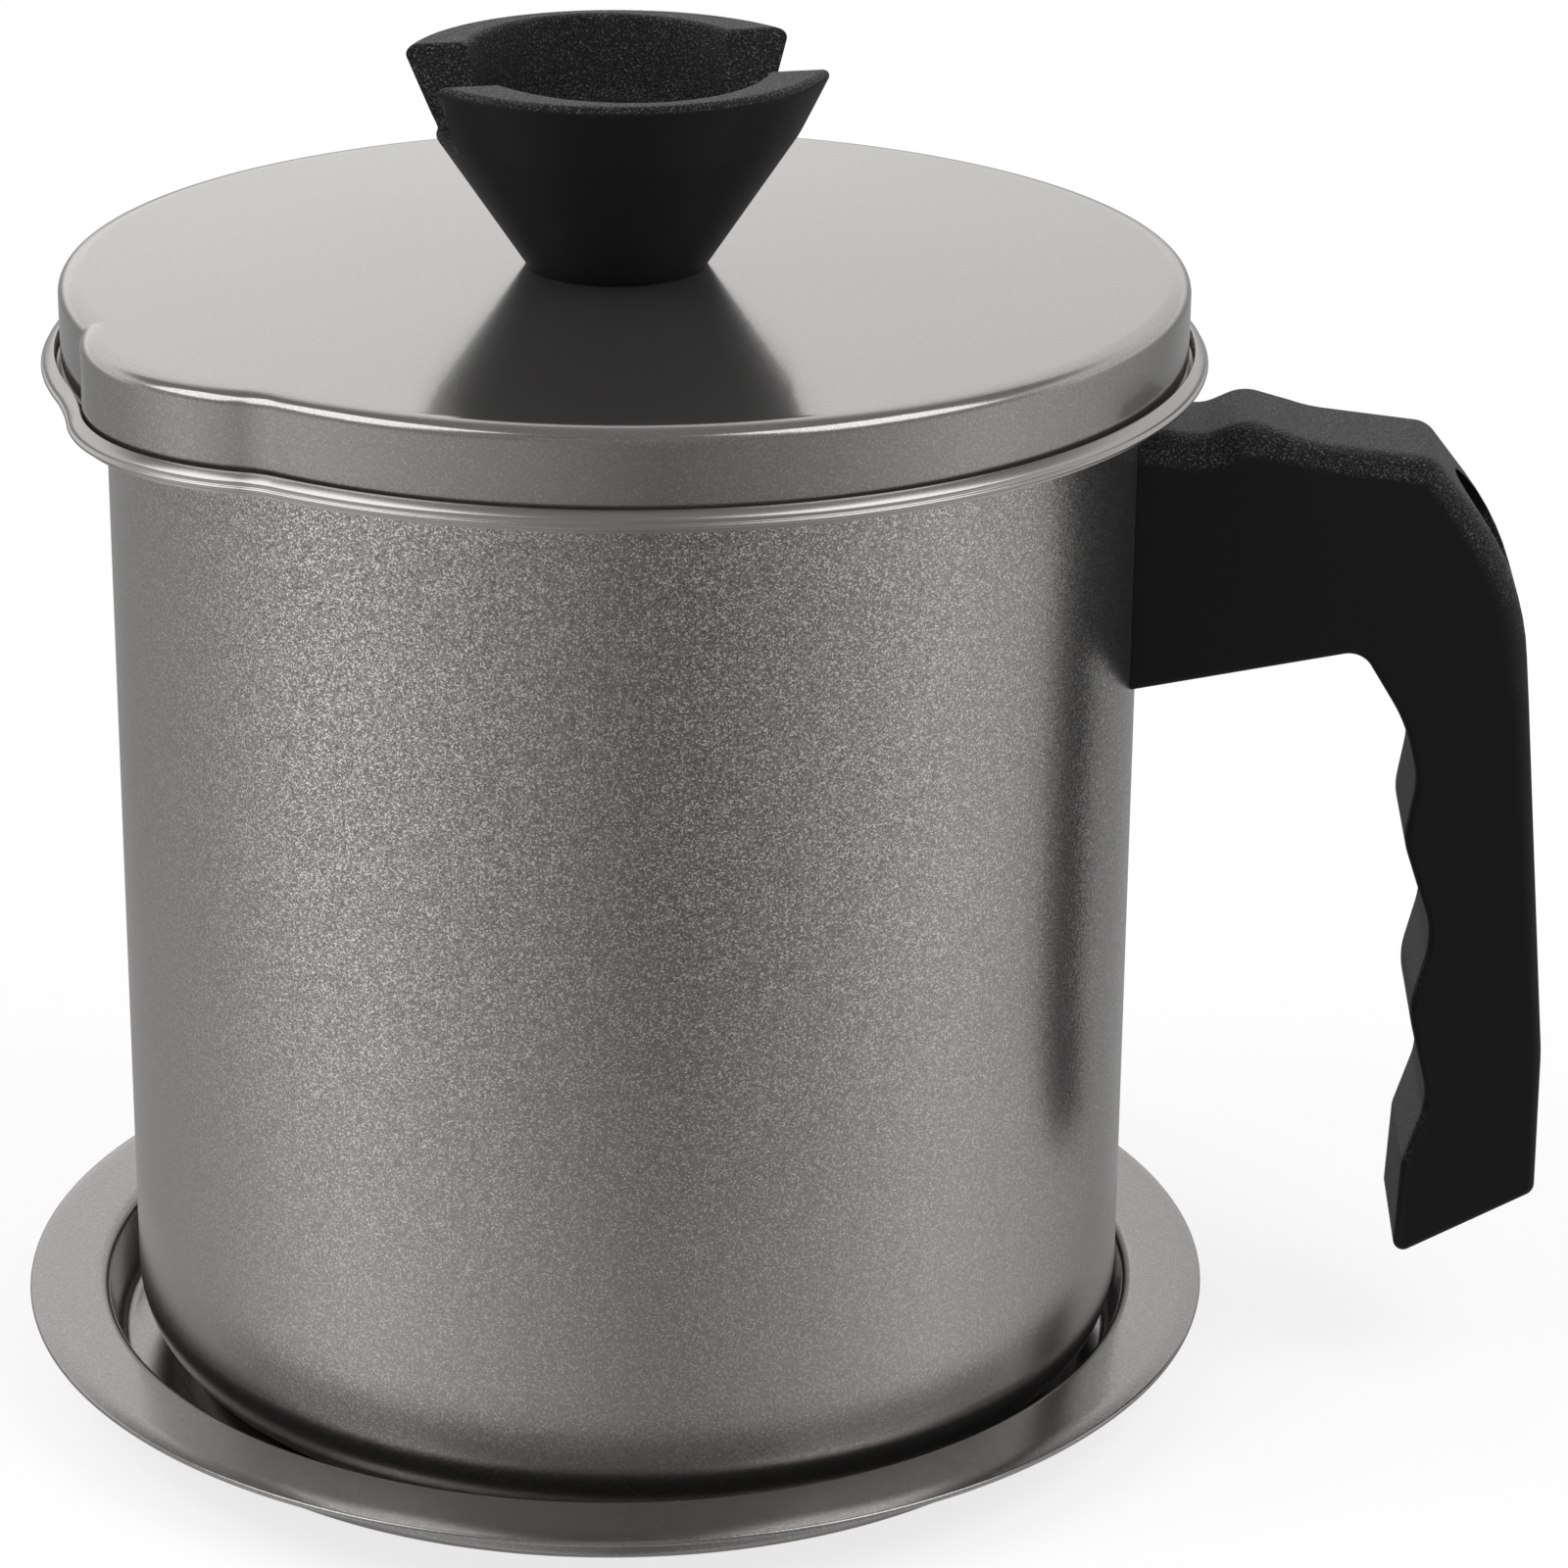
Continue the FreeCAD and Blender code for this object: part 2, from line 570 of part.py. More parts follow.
def make_mesh():
    """The woven cup, drawn as thin sheet with five rings of round openings in its floor."""
    body = new_body("strainer_mesh", z="tray_sheet + seat_height")
    outer = "strainer_radius - strainer_sheet - press_gap"
    turned(body, "cup", [
        ("0", "-mesh_depth"),
        (outer, "-mesh_depth", "mesh_corner"),
        (outer, "-1"),
        (outer + " - mesh_sheet", "-1"),
        (outer + " - mesh_sheet", "mesh_sheet - mesh_depth", "mesh_corner - mesh_sheet"),
        ("0", "mesh_sheet - mesh_depth"),
    ])
    for number in range(1, 6):
        sketch = new_sketch(body, "hole_%d" % number, "XY_Plane", ("0", "0", "-mesh_depth - 1"))
        ring(sketch, "mesh_ring_step * %d" % number, "0", "mesh_hole")
        hole = cut_through(body, "opening_%d" % number, sketch, "mesh_sheet + 2", both=False, back=True)
        pattern = body.newObject("PartDesign::PolarPattern", "ring_%d" % number)
        pattern.Originals = [hole]
        pattern.Axis = (sketch, ["N_Axis"])
        pattern.Angle = 360
        body.Tip = pattern
        pattern.Occurrences = 2 + 6 * number
        DOC.recompute()
    return body


def make_clamp_ring():
    body = new_body("strainer_clamp_ring", z="tray_sheet + seat_height")
    outer = "strainer_radius - strainer_sheet - mesh_sheet - press_gap * 2"
    turned(body, "band", [
        (outer + " - strainer_sheet", "-1 - clamp_depth"),
        (outer, "-1 - clamp_depth"),
        (outer, "-1"),
        (outer + " - strainer_sheet", "-1"),
    ])
    return body


def make_loop():
    """Bent wire standing inside the clamp ring, across from the spout."""
    body = new_body("strainer_lift_loop", z="tray_sheet + seat_height", turn="spout_bearing - 180")
    path = outline(new_sketch(body, "path", "YZ_Plane", ("0", "0", "loop_plane")), [
        ("-loop_half", "-clamp_depth"),
        ("-loop_half", "loop_rise", "3"),
        ("loop_half", "loop_rise", "3"),
        ("loop_half", "-clamp_depth"),
    ], closed=False)
    wire = ring(new_sketch(body, "wire", "XY_Plane", ("0", "0", "-clamp_depth")),
                "loop_plane", "-loop_half", "loop_wire")
    loop = body.newObject("PartDesign::AdditivePipe", "loop")
    loop.Profile = wire
    loop.Spine = (path, [])
    DOC.recompute()
    return body


def make_grip():
    body = new_body("handle_grip", z="tray_sheet")
    ridge = "grip_front + 1.6 - scallop_depth"
    valley = "grip_front + scallop_depth"
    low = "grip_bottom"
    sketch = outline(new_sketch(body, "side", "XZ_Plane"), [
        ("pot_radius - 3", "grip_top"),
        ("rim_radius - 0.3", "grip_top - 1.6", "3"),
        ("rim_radius + 4.5", "grip_top + 0.5", "3"),
        ("rim_radius + 12", "grip_top - 1.8", "20"),
        ("grip_front", "grip_top - 3.4", "3"),
        ("grip_back - 1.3", "grip_top - 17.2", "34"),
        ("grip_back", "grip_top - 32.3", "25"),
        ("grip_reach - 0.2", low + " + 27.3", "30"),
        ("grip_reach", low + " + 9.2", "1.6"),
        ("grip_front", low, "1.2"),
        ("grip_front + 0.5", low + " + 12.5", "4"),
        (valley + " + 0.1", low + " + 21", "8"),
        ("grip_front + 0.3", low + " + 32.5", "10"),
        (valley + " - 0.4", low + " + 32.5 + scallop_pitch * 0.45", "10"),
        (ridge, low + " + 32.5 + scallop_pitch", "8"),
        ("grip_front - 0.2", low + " + 61.8", "8"),
        ("grip_front - 1.8", "arm_under - 3.7", "20"),
        ("grip_front - 7.3", "arm_under + 5.3", "3"),
        ("pot_radius - 3", "arm_under - 0.6"),
    ])
    block = raised(body, "block", sketch, "grip_width", both=True)
    sides = edges_where(block.Shape, lambda e: e.BoundBox.YLength < 0.01 and e.BoundBox.XMax > 61)
    rounded(body, "long_edges", block, sides, "grip_edge")
    turned(body, "pot_clearance", [
        ("0", "arm_under - 10"),
        ("pot_radius + fit_gap", "arm_under - 10"),
        ("pot_radius + fit_gap", "grip_top + 10"),
        ("0", "grip_top + 10"),
    ], cut=True)
    for name, start, end, radius in (
            ("boss_socket", "pot_radius - 3", "boss_end + 0.3", "boss_radius + fit_gap"),
            ("screw_bore", "boss_end", "well_floor + 1", "thread_bore + 0.25"),
            ("screw_well", "well_floor", "grip_reach + 5", "well_radius")):
        sketch = new_sketch(body, name + "_circle", "YZ_Plane", ("0", "0", start))
        ring(sketch, "0", "screw_height", radius)
        cut_through(body, name, sketch, "%s - (%s)" % (end, start), both=False, back=True)
    return body


def make_boss():
    """Threaded boss whose foot follows the pot's wall."""
    body = new_body("handle_bracket", z="tray_sheet")
    sketch = new_sketch(body, "boss_circle", "YZ_Plane", ("0", "0", "pot_radius - 5"))
    ring(sketch, "0", "screw_height", "boss_radius")
    raised(body, "boss", sketch, "boss_end - pot_radius + 5")
    sketch = new_sketch(body, "thread_circle", "YZ_Plane", ("0", "0", "pot_radius + 0.6"))
    ring(sketch, "0", "screw_height", "thread_bore")
    cut_through(body, "thread", sketch, "boss_end - pot_radius + 1", both=False, back=True)
    turned(body, "pot_wall", [
        ("0", "screw_height - 20"),
        ("pot_radius", "screw_height - 20"),
        ("pot_radius", "screw_height + 20"),
        ("0", "screw_height + 20"),
    ], cut=True)
    return body


def finish():
    """Recompute, stop on any broken feature, and write one STEP file for each body."""
    DOC.recompute()
    for item in DOC.Objects:
        if "Invalid" in item.State or "Error" in item.State:
            raise RuntimeError("%s is %s" % (item.Label, item.State))
    os.makedirs("parts", exist_ok=True)
    for body in BODIES:
        shape = body.Shape
        if shape.isNull() or not shape.isValid() or not shape.Solids:
            raise RuntimeError("%s has no valid solid" % body.Label)
        shape.exportStep("parts/%s.step" % body.Label)
        box = shape.BoundBox
        print("%-20s %d solid %10.1f mm3  x %.2f..%.2f y %.2f..%.2f z %.2f..%.2f" % (
            body.Label, len(shape.Solids), shape.Volume,
            box.XMin, box.XMax, box.YMin, box.YMax, box.ZMin, box.ZMax))


fill_sheet()
LID_TOP = "tray_sheet + seat_height + lid_height"
UNDER_LID = LID_TOP + " - lid_sheet"
KNOB_AXIS = "pot_offset + knob_offset"
KNOB_STACK = "washer_thick + spring_washer_thick"
GRIP_SEAT = "pot_offset + well_floor"
SCREW_LEVEL = "tray_sheet + screw_height"
BODIES = [
    make_tray(),
    make_pot(),
    make_boss(),
    make_grip(),
    make_disc("handle_flat_washer", GRIP_SEAT, SCREW_LEVEL, "grip_washer_radius", "washer_bore",
              "washer_thick", lying=True),
    make_disc("handle_spring_washer", GRIP_SEAT + " + washer_thick", SCREW_LEVEL, "spring_washer_radius",
              "spring_washer_bore", "spring_washer_thick", split="0.4", lying=True),
    make_screw("handle_screw", "%s + %s" % (GRIP_SEAT, KNOB_STACK), SCREW_LEVEL,
               "well_floor + %s - pot_radius - 1.5" % KNOB_STACK, lying=True),
    make_strainer_frame(),
    make_mesh(),
    make_clamp_ring(),
    make_loop(),
    make_lid(),
    make_knob(),
    make_disc("knob_insert", KNOB_AXIS, LID_TOP, "insert_radius", "thread_bore", "insert_length"),
    make_disc("knob_flat_washer", KNOB_AXIS, UNDER_LID + " - washer_thick", "knob_washer_radius",
              "washer_bore", "washer_thick"),
    make_disc("knob_spring_washer", KNOB_AXIS, "%s - (%s)" % (UNDER_LID, KNOB_STACK), "spring_washer_radius",
              "spring_washer_bore", "spring_washer_thick", split="0.4"),
    make_screw("knob_screw", KNOB_AXIS, "%s - (%s)" % (UNDER_LID, KNOB_STACK),
               "%s + lid_sheet + 8" % KNOB_STACK),
]
finish()
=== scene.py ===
"""Dresses the grease container: metallic enamel, black moulding, woven strainer, bare metal and studio."""

import math
from collections import namedtuple

import bmesh
import bpy
import numpy as np
from mathutils import Euler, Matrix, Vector


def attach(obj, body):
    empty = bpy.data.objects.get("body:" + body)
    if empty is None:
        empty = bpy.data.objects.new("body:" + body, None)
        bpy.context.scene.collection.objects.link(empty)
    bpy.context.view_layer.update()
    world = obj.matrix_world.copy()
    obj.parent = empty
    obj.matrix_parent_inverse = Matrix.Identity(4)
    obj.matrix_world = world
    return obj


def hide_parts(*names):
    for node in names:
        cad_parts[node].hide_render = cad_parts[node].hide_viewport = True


bl_info = {
    "name": "Grease container",
    "version": (1, 0, 0),
    "blender": (4, 5, 0),
    "location": "View3D > Sidebar > Container",
    "description": "Builds the visible pieces of a lidded grease container around its solids",
    "category": "Object",
}

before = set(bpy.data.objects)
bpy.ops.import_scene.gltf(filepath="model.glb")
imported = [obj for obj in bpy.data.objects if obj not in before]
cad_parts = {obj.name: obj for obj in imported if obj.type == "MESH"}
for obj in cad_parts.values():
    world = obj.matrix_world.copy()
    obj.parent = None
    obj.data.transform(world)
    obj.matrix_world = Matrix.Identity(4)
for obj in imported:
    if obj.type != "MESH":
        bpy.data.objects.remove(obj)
MM = 0.001

# Sizes shared with the solids, in millimetres. The pot's axis stands at POT_X and its floor at POT_Z; the
# strainer and the lid sit SEAT above that floor. The knob stands KNOB_OFFSET from the lid's middle.
POT_X = 1.4
POT_Z = 0.8
SEAT = 124.25
LID_HEIGHT = 10.05
KNOB_OFFSET = -1.1
POT_FOOT = np.array([POT_X, 0, POT_Z])
SEAT_CENTRE = np.array([POT_X, 0, POT_Z + SEAT])

# A circle with a spout: the circle's radius, the spout's bearing, reach and radius, and the radius of the
# hollow blend before and after it.
Outline = namedtuple("Outline", "radius bearing reach spout blends")
RIM_OUTLINE = Outline(67.15, math.radians(222.9), 43.2, 28.05, (60.0, 11.0))
LID_OUTLINE = Outline(64.9, math.radians(222.0), 43.0, 26.1, (1.2, 13.0))

# The grip's side view, clockwise from the top of its root. A corner has its distance from the pot's axis, its
# height over the pot's floor, its radius, and the radius of the grip's long edges there.
GRIP_SIDE = [
    (52.0, 118.9, 4.6, 4.2),
    (66.85, 117.2, 5.0, 4.2),
    (71.7, 119.35, 5.0, 4.0),
    (79.2, 116.9, 20.0, 3.2),
    (93.2, 115.35, 3.4, 3.2),
    (104.3, 101.3, 34.0, 3.4),
    (105.6, 86.0, 25.0, 2.4),
    (109.6, 42.0, 30.0, 1.4),
    (109.8, 23.9, 1.6, 1.1),
    (93.2, 14.7, 1.2, 1.1),
    (93.7, 27.25, 4.0, 1.5),
    (96.3, 35.75, 8.0, 1.5),
    (93.5, 47.25, 10.0, 1.5),
    (95.8, 56.97, 10.0, 1.5),
    (91.8, 68.85, 8.0, 1.5),
    (93.0, 76.5, 8.0, 1.5),
    (91.4, 83.2, 20.0, 1.5),
    (85.9, 92.2, 3.0, 1.3),
    (52.0, 85.3, 1.4, 1.1),
]

CAMERA_PLACE = (0.043688, -0.575850, 0.294443)
CAMERA_TURN = (68.8408, -0.5040, 2.5397)
CAMERA_LENS = 118.92


class ContainerSizes(bpy.types.PropertyGroup):
    """Sizes that only the visible pieces have."""

    crown: bpy.props.FloatProperty(
        name="Lid crown", description="Rise of the lid's middle over its shoulder",
        default=0.00012, min=0.0, max=0.001, unit="LENGTH", subtype="DISTANCE")
    wire_pitch: bpy.props.FloatProperty(
        name="Mesh pitch", description="Spacing of the strainer's wires",
        default=0.0020, min=0.0018, max=0.004, unit="LENGTH", subtype="DISTANCE")


class ContainerFinishes(bpy.types.PropertyGroup):
    """Colours and surface character."""

    body_colour: bpy.props.FloatVectorProperty(
        name="Body", description="Metallic enamel of the pot and lid", subtype="COLOR", size=3,
        default=(0.46, 0.452, 0.44), min=0.0, max=1.0)
    tray_colour: bpy.props.FloatVectorProperty(
        name="Tray", description="Metallic enamel of the tray", subtype="COLOR", size=3,
        default=(0.36, 0.355, 0.348), min=0.0, max=1.0)
    moulded_colour: bpy.props.FloatVectorProperty(
        name="Moulding", description="Black moulding of the knob and grip", subtype="COLOR", size=3,
        default=(0.006, 0.006, 0.006), min=0.0, max=1.0)
    steel_colour: bpy.props.FloatVectorProperty(
        name="Steel", description="Stainless strainer and plated fasteners", subtype="COLOR", size=3,
        default=(0.62, 0.62, 0.61), min=0.0, max=1.0)
    brass_colour: bpy.props.FloatVectorProperty(
        name="Brass", description="Threaded insert of the knob", subtype="COLOR", size=3,
        default=(0.72, 0.55, 0.25), min=0.0, max=1.0)
    flake: bpy.props.FloatProperty(
        name="Flake", description="Strength of the sparkle in the enamel", subtype="FACTOR",
        default=0.95, min=0.0, max=1.0)


# ---------------------------------------------------------------- shapes

def spout_outline(shape):
    """Points and outward normals of an outline with a spout, seen from above, in millimetres.

    A circle about the pot's axis joins a smaller circle about the spout's centre; each of the two corners is
    a hollow arc that touches both circles, its centre at radius + blend from each.
    """
    circle_points, spout_points, blend_points = 288, 80, (20, 16)
    full = 2 * math.pi
    axis = np.zeros(2)
    centre = shape.reach * np.array([math.cos(shape.bearing), math.sin(shape.bearing)])
    middles = []
    for side, blend in zip((-1, 1), shape.blends):
        far = shape.radius + blend
        near = shape.spout + blend
        swing = math.acos((far**2 + shape.reach**2 - near**2) / (2 * far * shape.reach))
        angle = shape.bearing + side * swing
        middles.append(far * np.array([math.cos(angle), math.sin(angle)]))
    before, after = middles

    def arc(middle, size, start, end, count, hollow=False):
        """Points and normals between the bearings of start and end; a hollow arc runs clockwise."""
        first, last = (math.atan2(*(spot - middle)[::-1]) for spot in (start, end))
        turn = (last - first) % full - (full if hollow else 0)
        angles = first + turn * (np.arange(count) + 0.5) / count
        out = np.stack([np.cos(angles), np.sin(angles)], 1)
        return middle + size * out, -out if hollow else out

    parts = [
        arc(axis, shape.radius, after, before, circle_points),
        arc(before, shape.blends[0], axis, centre, blend_points[0], hollow=True),
        arc(centre, shape.spout, before, after, spout_points),
        arc(after, shape.blends[1], centre, axis, blend_points[1], hollow=True),
    ]
    return tuple(np.concatenate(column) for column in zip(*parts))


def arc_rows(across, up, radius, start, end, count):
    """(radius, height) rows along an arc about (across, up), angles in degrees."""
    angles = np.radians(np.linspace(start, end, count))
    return list(zip((across + radius * np.cos(angles)).tolist(), (up + radius * np.sin(angles)).tolist()))


def station(across, up, outline=False):
    """One row of a profile: (radius, inset from the outline, share of the circle, height)."""
    return (0.0, across, 0.0, up) if outline else (across, 0.0, 1.0, up)


def bend(across, up, radius, start, end, count, outline=False):
    """Stations along an arc about (across, up), angles in degrees; on an outline across is an inset."""
    sign = -1.0 if outline else 1.0
    rows = arc_rows(0.0, up, radius, start, end, count)
    return [station(across + sign * reach, height, outline) for reach, height in rows]


def outline_surface(profile, shape):
    """Grid of points, one row for each station and one column for each point of the outline.

    A point is share * (direction * radius) + (1 - share) * (outline point - normal * inset), at the height
    of its row.
    """
    points, normals = spout_outline(shape)
    direction = points / np.linalg.norm(points, axis=1)[:, None]
    radius, inset, share, height = np.array(profile).T[:, :, None, None]
    circle = radius * direction[None]
    edge = points[None] - inset * normals[None]
    flat = share * circle + (1 - share) * edge
    return np.concatenate([flat, np.broadcast_to(height, flat.shape[:2] + (1,))], axis=2)


def turned_surface(profile, columns):
    """Grid of points of a profile of (radius, height) turned about the Z axis."""
    rows = np.array(profile)
    angles = np.linspace(0, 2 * math.pi, columns, endpoint=False)
    x = rows[:, 0, None] * np.cos(angles)
    y = rows[:, 0, None] * np.sin(angles)
    z = np.broadcast_to(rows[:, 1, None], x.shape)
    return np.stack([x, y, z], axis=2)


def soft_polygon(corners, step):
    """Points, inward normals and edge softness along a clockwise polygon with rounded corners.

    Each corner's arc starts at radius / tan(half its angle) from the corner. The softness runs evenly from
    one corner to the next.
    """
    arc_points = 9
    spots = np.array([c[:2] for c in corners])
    radius = np.array([c[2] for c in corners])
    back = np.roll(spots, 1, axis=0) - spots
    ahead = np.roll(spots, -1, axis=0) - spots
    back /= np.linalg.norm(back, axis=1)[:, None]
    ahead /= np.linalg.norm(ahead, axis=1)[:, None]
    half = np.arccos(np.clip((back * ahead).sum(axis=1), -1, 1)) / 2
    reach = radius / np.tan(half)
    points, softness = [], []
    for i in range(len(spots)):
        following = (i + 1) % len(spots)
        soft = corners[i][3]
        middle = spots[i] + (back[i] + ahead[i]) / (2 * math.cos(half[i])) * (radius[i] / math.sin(half[i]))
        start = spots[i] + back[i] * reach[i] - middle
        sign = math.copysign(1.0, back[i][0] * ahead[i][1] - back[i][1] * ahead[i][0])
        turn = np.linspace(0, math.pi - 2 * half[i], arc_points)[:, None] * -sign
        points.append(middle + start * np.cos(turn) + np.array([-start[1], start[0]]) * np.sin(turn))
        softness.append(np.full(arc_points, soft))
        begin = spots[i] + ahead[i] * reach[i]
        end = spots[following] + back[following] * reach[following]
        pieces = max(2, int(np.linalg.norm(end - begin) / step))
        share = (np.arange(1, pieces) / pieces)[:, None]
        points.append(begin + (end - begin) * share)
        softness.append(soft + (corners[following][3] - soft) * share[:, 0])
    points = np.concatenate(points)
    along = np.roll(points, -1, axis=0) - np.roll(points, 1, axis=0)
    along /= np.linalg.norm(along, axis=1)[:, None]
    return points, np.stack([along[:, 1], -along[:, 0]], axis=1), np.concatenate(softness)


def drape(flat):
    """Points and normals of the strainer's cup for points of a flat cloth laid over it.

    The cloth's radius runs along the floor, then a quarter turn, then up the wall; the normal points into
    the cup.
    """
    floor_end, corner, level = 52.88, 4.8, -15.8
    radius = np.linalg.norm(flat, axis=1)
    direction = flat / np.maximum(radius, 1e-9)[:, None]
    turn = np.clip((radius - floor_end) / corner, 0, math.pi / 2)
    rise = np.maximum(radius - floor_end - corner * math.pi / 2, 0)
    across = np.minimum(radius, floor_end) + corner * np.sin(turn)
    up = level + corner * (1 - np.cos(turn)) + rise
    points = np.concatenate([direction * across[:, None], up[:, None]], axis=1)
    normals = np.concatenate([-direction * np.sin(turn)[:, None], np.cos(turn)[:, None]], axis=1)
    return points, normals


def raw_mesh(name, points, faces):
    """New mesh of points in millimetres."""
    mesh = bpy.data.meshes.new(name)
    mesh.from_pydata((points * MM).tolist(), [], faces)
    return mesh


def band_faces(rows, columns, ring=False):
    """Quads of a grid whose columns close on themselves; its rows close too if ring is set."""
    i = np.arange(rows if ring else rows - 1)[:, None]
    j = np.arange(columns)[None]
    low = i * columns
    high = (i + 1) % rows * columns
    ahead = (j + 1) % columns
    return np.stack([low + j, low + ahead, high + ahead, high + j], axis=2).reshape(-1, 4).tolist()


def grid_mesh(name, grid, ring=False):
    """Mesh of a grid in millimetres whose columns close on themselves.

    Rows close too if ring is set; otherwise the first and last rows are single points, the poles.
    """
    inner = grid if ring else grid[1:-1]
    rows, columns = inner.shape[:2]
    points = inner.reshape(-1, 3)
    faces = band_faces(rows, columns, ring)
    if not ring:
        low, high = len(points), len(points) + 1
        points = np.concatenate([points, grid[0, :1], grid[-1, :1]])
        top = (rows - 1) * columns
        column = np.arange(columns)
        following = (column + 1) % columns
        faces += np.stack([np.full(columns, low), following, column], axis=1).tolist()
        faces += np.stack([np.full(columns, high), top + column, top + following], axis=1).tolist()
    return finish_mesh(raw_mesh(name, points, faces), sharp=40)


def tube_mesh(name, grid):
    """Mesh of a grid in millimetres whose columns close on themselves, with a flat face on each end row."""
    rows, columns = grid.shape[:2]
    last = (rows - 1) * columns
    ends = [list(range(columns))[::-1], list(range(last, last + columns))]
    return outward(raw_mesh(name, grid.reshape(-1, 3), band_faces(rows, columns) + ends))


def outward(mesh):
    """The closed mesh with all faces turned outwards."""
    work = bmesh.new()
    work.from_mesh(mesh)
    bmesh.ops.recalc_face_normals(work, faces=work.faces)
    work.to_mesh(mesh)
    work.free()
    return mesh


def finish_mesh(mesh, sharp):
    """The mesh with smooth faces, but with edges sharper than the angle in degrees kept crisp."""
    mesh.polygons.foreach_set("use_smooth", np.ones(len(mesh.polygons), dtype=bool))
    mesh.set_sharp_from_angle(angle=math.radians(sharp))
    mesh.update()
    mesh.validate()
    return mesh


def bored_mesh(name, block, *bars):
    """The block less the bars, as a new mesh."""
    least_faces = 500
    link = bpy.context.scene.collection.objects.link
    solid = bpy.data.objects.new(name + " block", block)
    link(solid)
    tools = [bpy.data.objects.new(bar.name, outward(bar)) for bar in bars]
    for tool in tools:
        link(tool)
        cut = solid.modifiers.new(tool.name, "BOOLEAN")
        cut.operation = "DIFFERENCE"
        cut.solver = "EXACT"
        cut.object = tool
    graph = bpy.context.evaluated_depsgraph_get()
    mesh = bpy.data.meshes.new_from_object(solid.evaluated_get(graph))
    mesh.name = name
    for item in [solid] + tools:
        bpy.data.objects.remove(item)
    for item in (block,) + bars:
        bpy.data.meshes.remove(item)
    if len(mesh.polygons) < least_faces:
        raise RuntimeError("%s was not bored" % name)
    return finish_mesh(mesh, sharp=35)


def merged_copy(node, name, sharp):
    """The solid's own surface as one smooth mesh: a copy with its doubles merged."""
    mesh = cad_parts[node].data.copy()
    mesh.name = name
    work = bmesh.new()
    work.from_mesh(mesh)
    bmesh.ops.remove_doubles(work, verts=work.verts, dist=1e-7)
    work.to_mesh(mesh)
    work.free()
    return finish_mesh(mesh, sharp)


def place(name, mesh, material, body, *nodes):
    """Puts the mesh in the scene as a piece that rides on the body and stands for the nodes."""
    piece = bpy.data.objects.new(name, mesh)
    bpy.context.scene.collection.objects.link(piece)
    mesh.materials.clear()
    mesh.materials.append(material)
    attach(piece, body)
    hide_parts(*nodes)
    return piece


def shade_evenly(piece):
    """Shades the piece's large faces flat, with the turn of the light kept to its rounded edges."""
    even = piece.modifiers.new("Even shading", "WEIGHTED_NORMAL")
    even.keep_sharp = True


# ---------------------------------------------------------------- finishes

def blank_tree(owner, output):
    """The emptied node tree of a material or world, and the surface socket of its new output node."""
    owner.use_nodes = True
    tree = owner.node_tree
    tree.nodes.clear()
    return tree, tree.nodes.new(output).inputs["Surface"]


def new_material(name):
    """A material with one Principled shader."""
    material = bpy.data.materials.new(name)
    tree, surface = blank_tree(material, "ShaderNodeOutputMaterial")
    shader = tree.nodes.new("ShaderNodeBsdfPrincipled")
    tree.links.new(shader.outputs["BSDF"], surface)
    return material, tree, shader


def feed(tree, value, socket):
    """Sets the socket to a number or colour, or links another socket to it."""
    if isinstance(value, (int, float, tuple)):
        socket.default_value = value
    else:
        tree.links.new(value, socket)


def math_step(tree, operation, *operands):
    """One Math node; operands are numbers or sockets."""
    node = tree.nodes.new("ShaderNodeMath")
    node.operation = operation
    for socket, operand in zip(node.inputs, operands):
        feed(tree, operand, socket)
    return node.outputs["Value"]


def between(tree, share, low, high):
    """A number that goes evenly from low to high with the share."""
    return math_step(tree, "MULTIPLY_ADD", share, high - low, low)


def soft_share(tree, source, low, high):
    """0 below low, 1 above high, with a smooth change between; the other way round if low is above high."""
    node = tree.nodes.new("ShaderNodeMapRange")
    node.interpolation_type = "SMOOTHSTEP"
    node.inputs["From Min"].default_value = low
    node.inputs["From Max"].default_value = high
    tree.links.new(source, node.inputs["Value"])
    return node.outputs["Result"]


def vector_step(tree, operation, first, second=None):
    """One Vector Math node; the second operand is a vector, or a number for SCALE."""
    node = tree.nodes.new("ShaderNodeVectorMath")
    node.operation = operation
    tree.links.new(first, node.inputs[0])
    if second is not None:
        feed(tree, second, node.inputs["Scale" if operation == "SCALE" else 1])
    return node.outputs["Vector"]


def axis_of(tree, vector, axis):
    """The "X", "Y" or "Z" component of a vector socket."""
    axes = tree.nodes.new("ShaderNodeSeparateXYZ")
    tree.links.new(vector, axes.inputs["Vector"])
    return axes.outputs[axis]


def object_place(tree):
    """Place in Object coordinates, in metres."""
    return tree.nodes.new("ShaderNodeTexCoord").outputs["Object"]


def object_noise(tree, scale, detail):
    """Noise on Object coordinates; the scale is in cells per metre."""
    noise = tree.nodes.new("ShaderNodeTexNoise")
    noise.inputs["Scale"].default_value = scale
    noise.inputs["Detail"].default_value = detail
    noise.inputs["Roughness"].default_value = 0.6
    tree.links.new(object_place(tree), noise.inputs["Vector"])
    return noise.outputs["Fac"]


def grey(value):
    """A grey as a colour socket takes it."""
    return (value, value, value, 1.0)


def ramp(tree, source, stops):
    """Colour ramp of (position, grey value) stops on a socket."""
    node = tree.nodes.new("ShaderNodeValToRGB")
    elements = node.color_ramp.elements
    while len(elements) < len(stops):
        elements.new(0.5)
    for element, (position, value) in zip(elements, stops):
        element.position = position
        element.color = grey(value)
    tree.links.new(source, node.inputs["Fac"])
    return node.outputs["Color"]


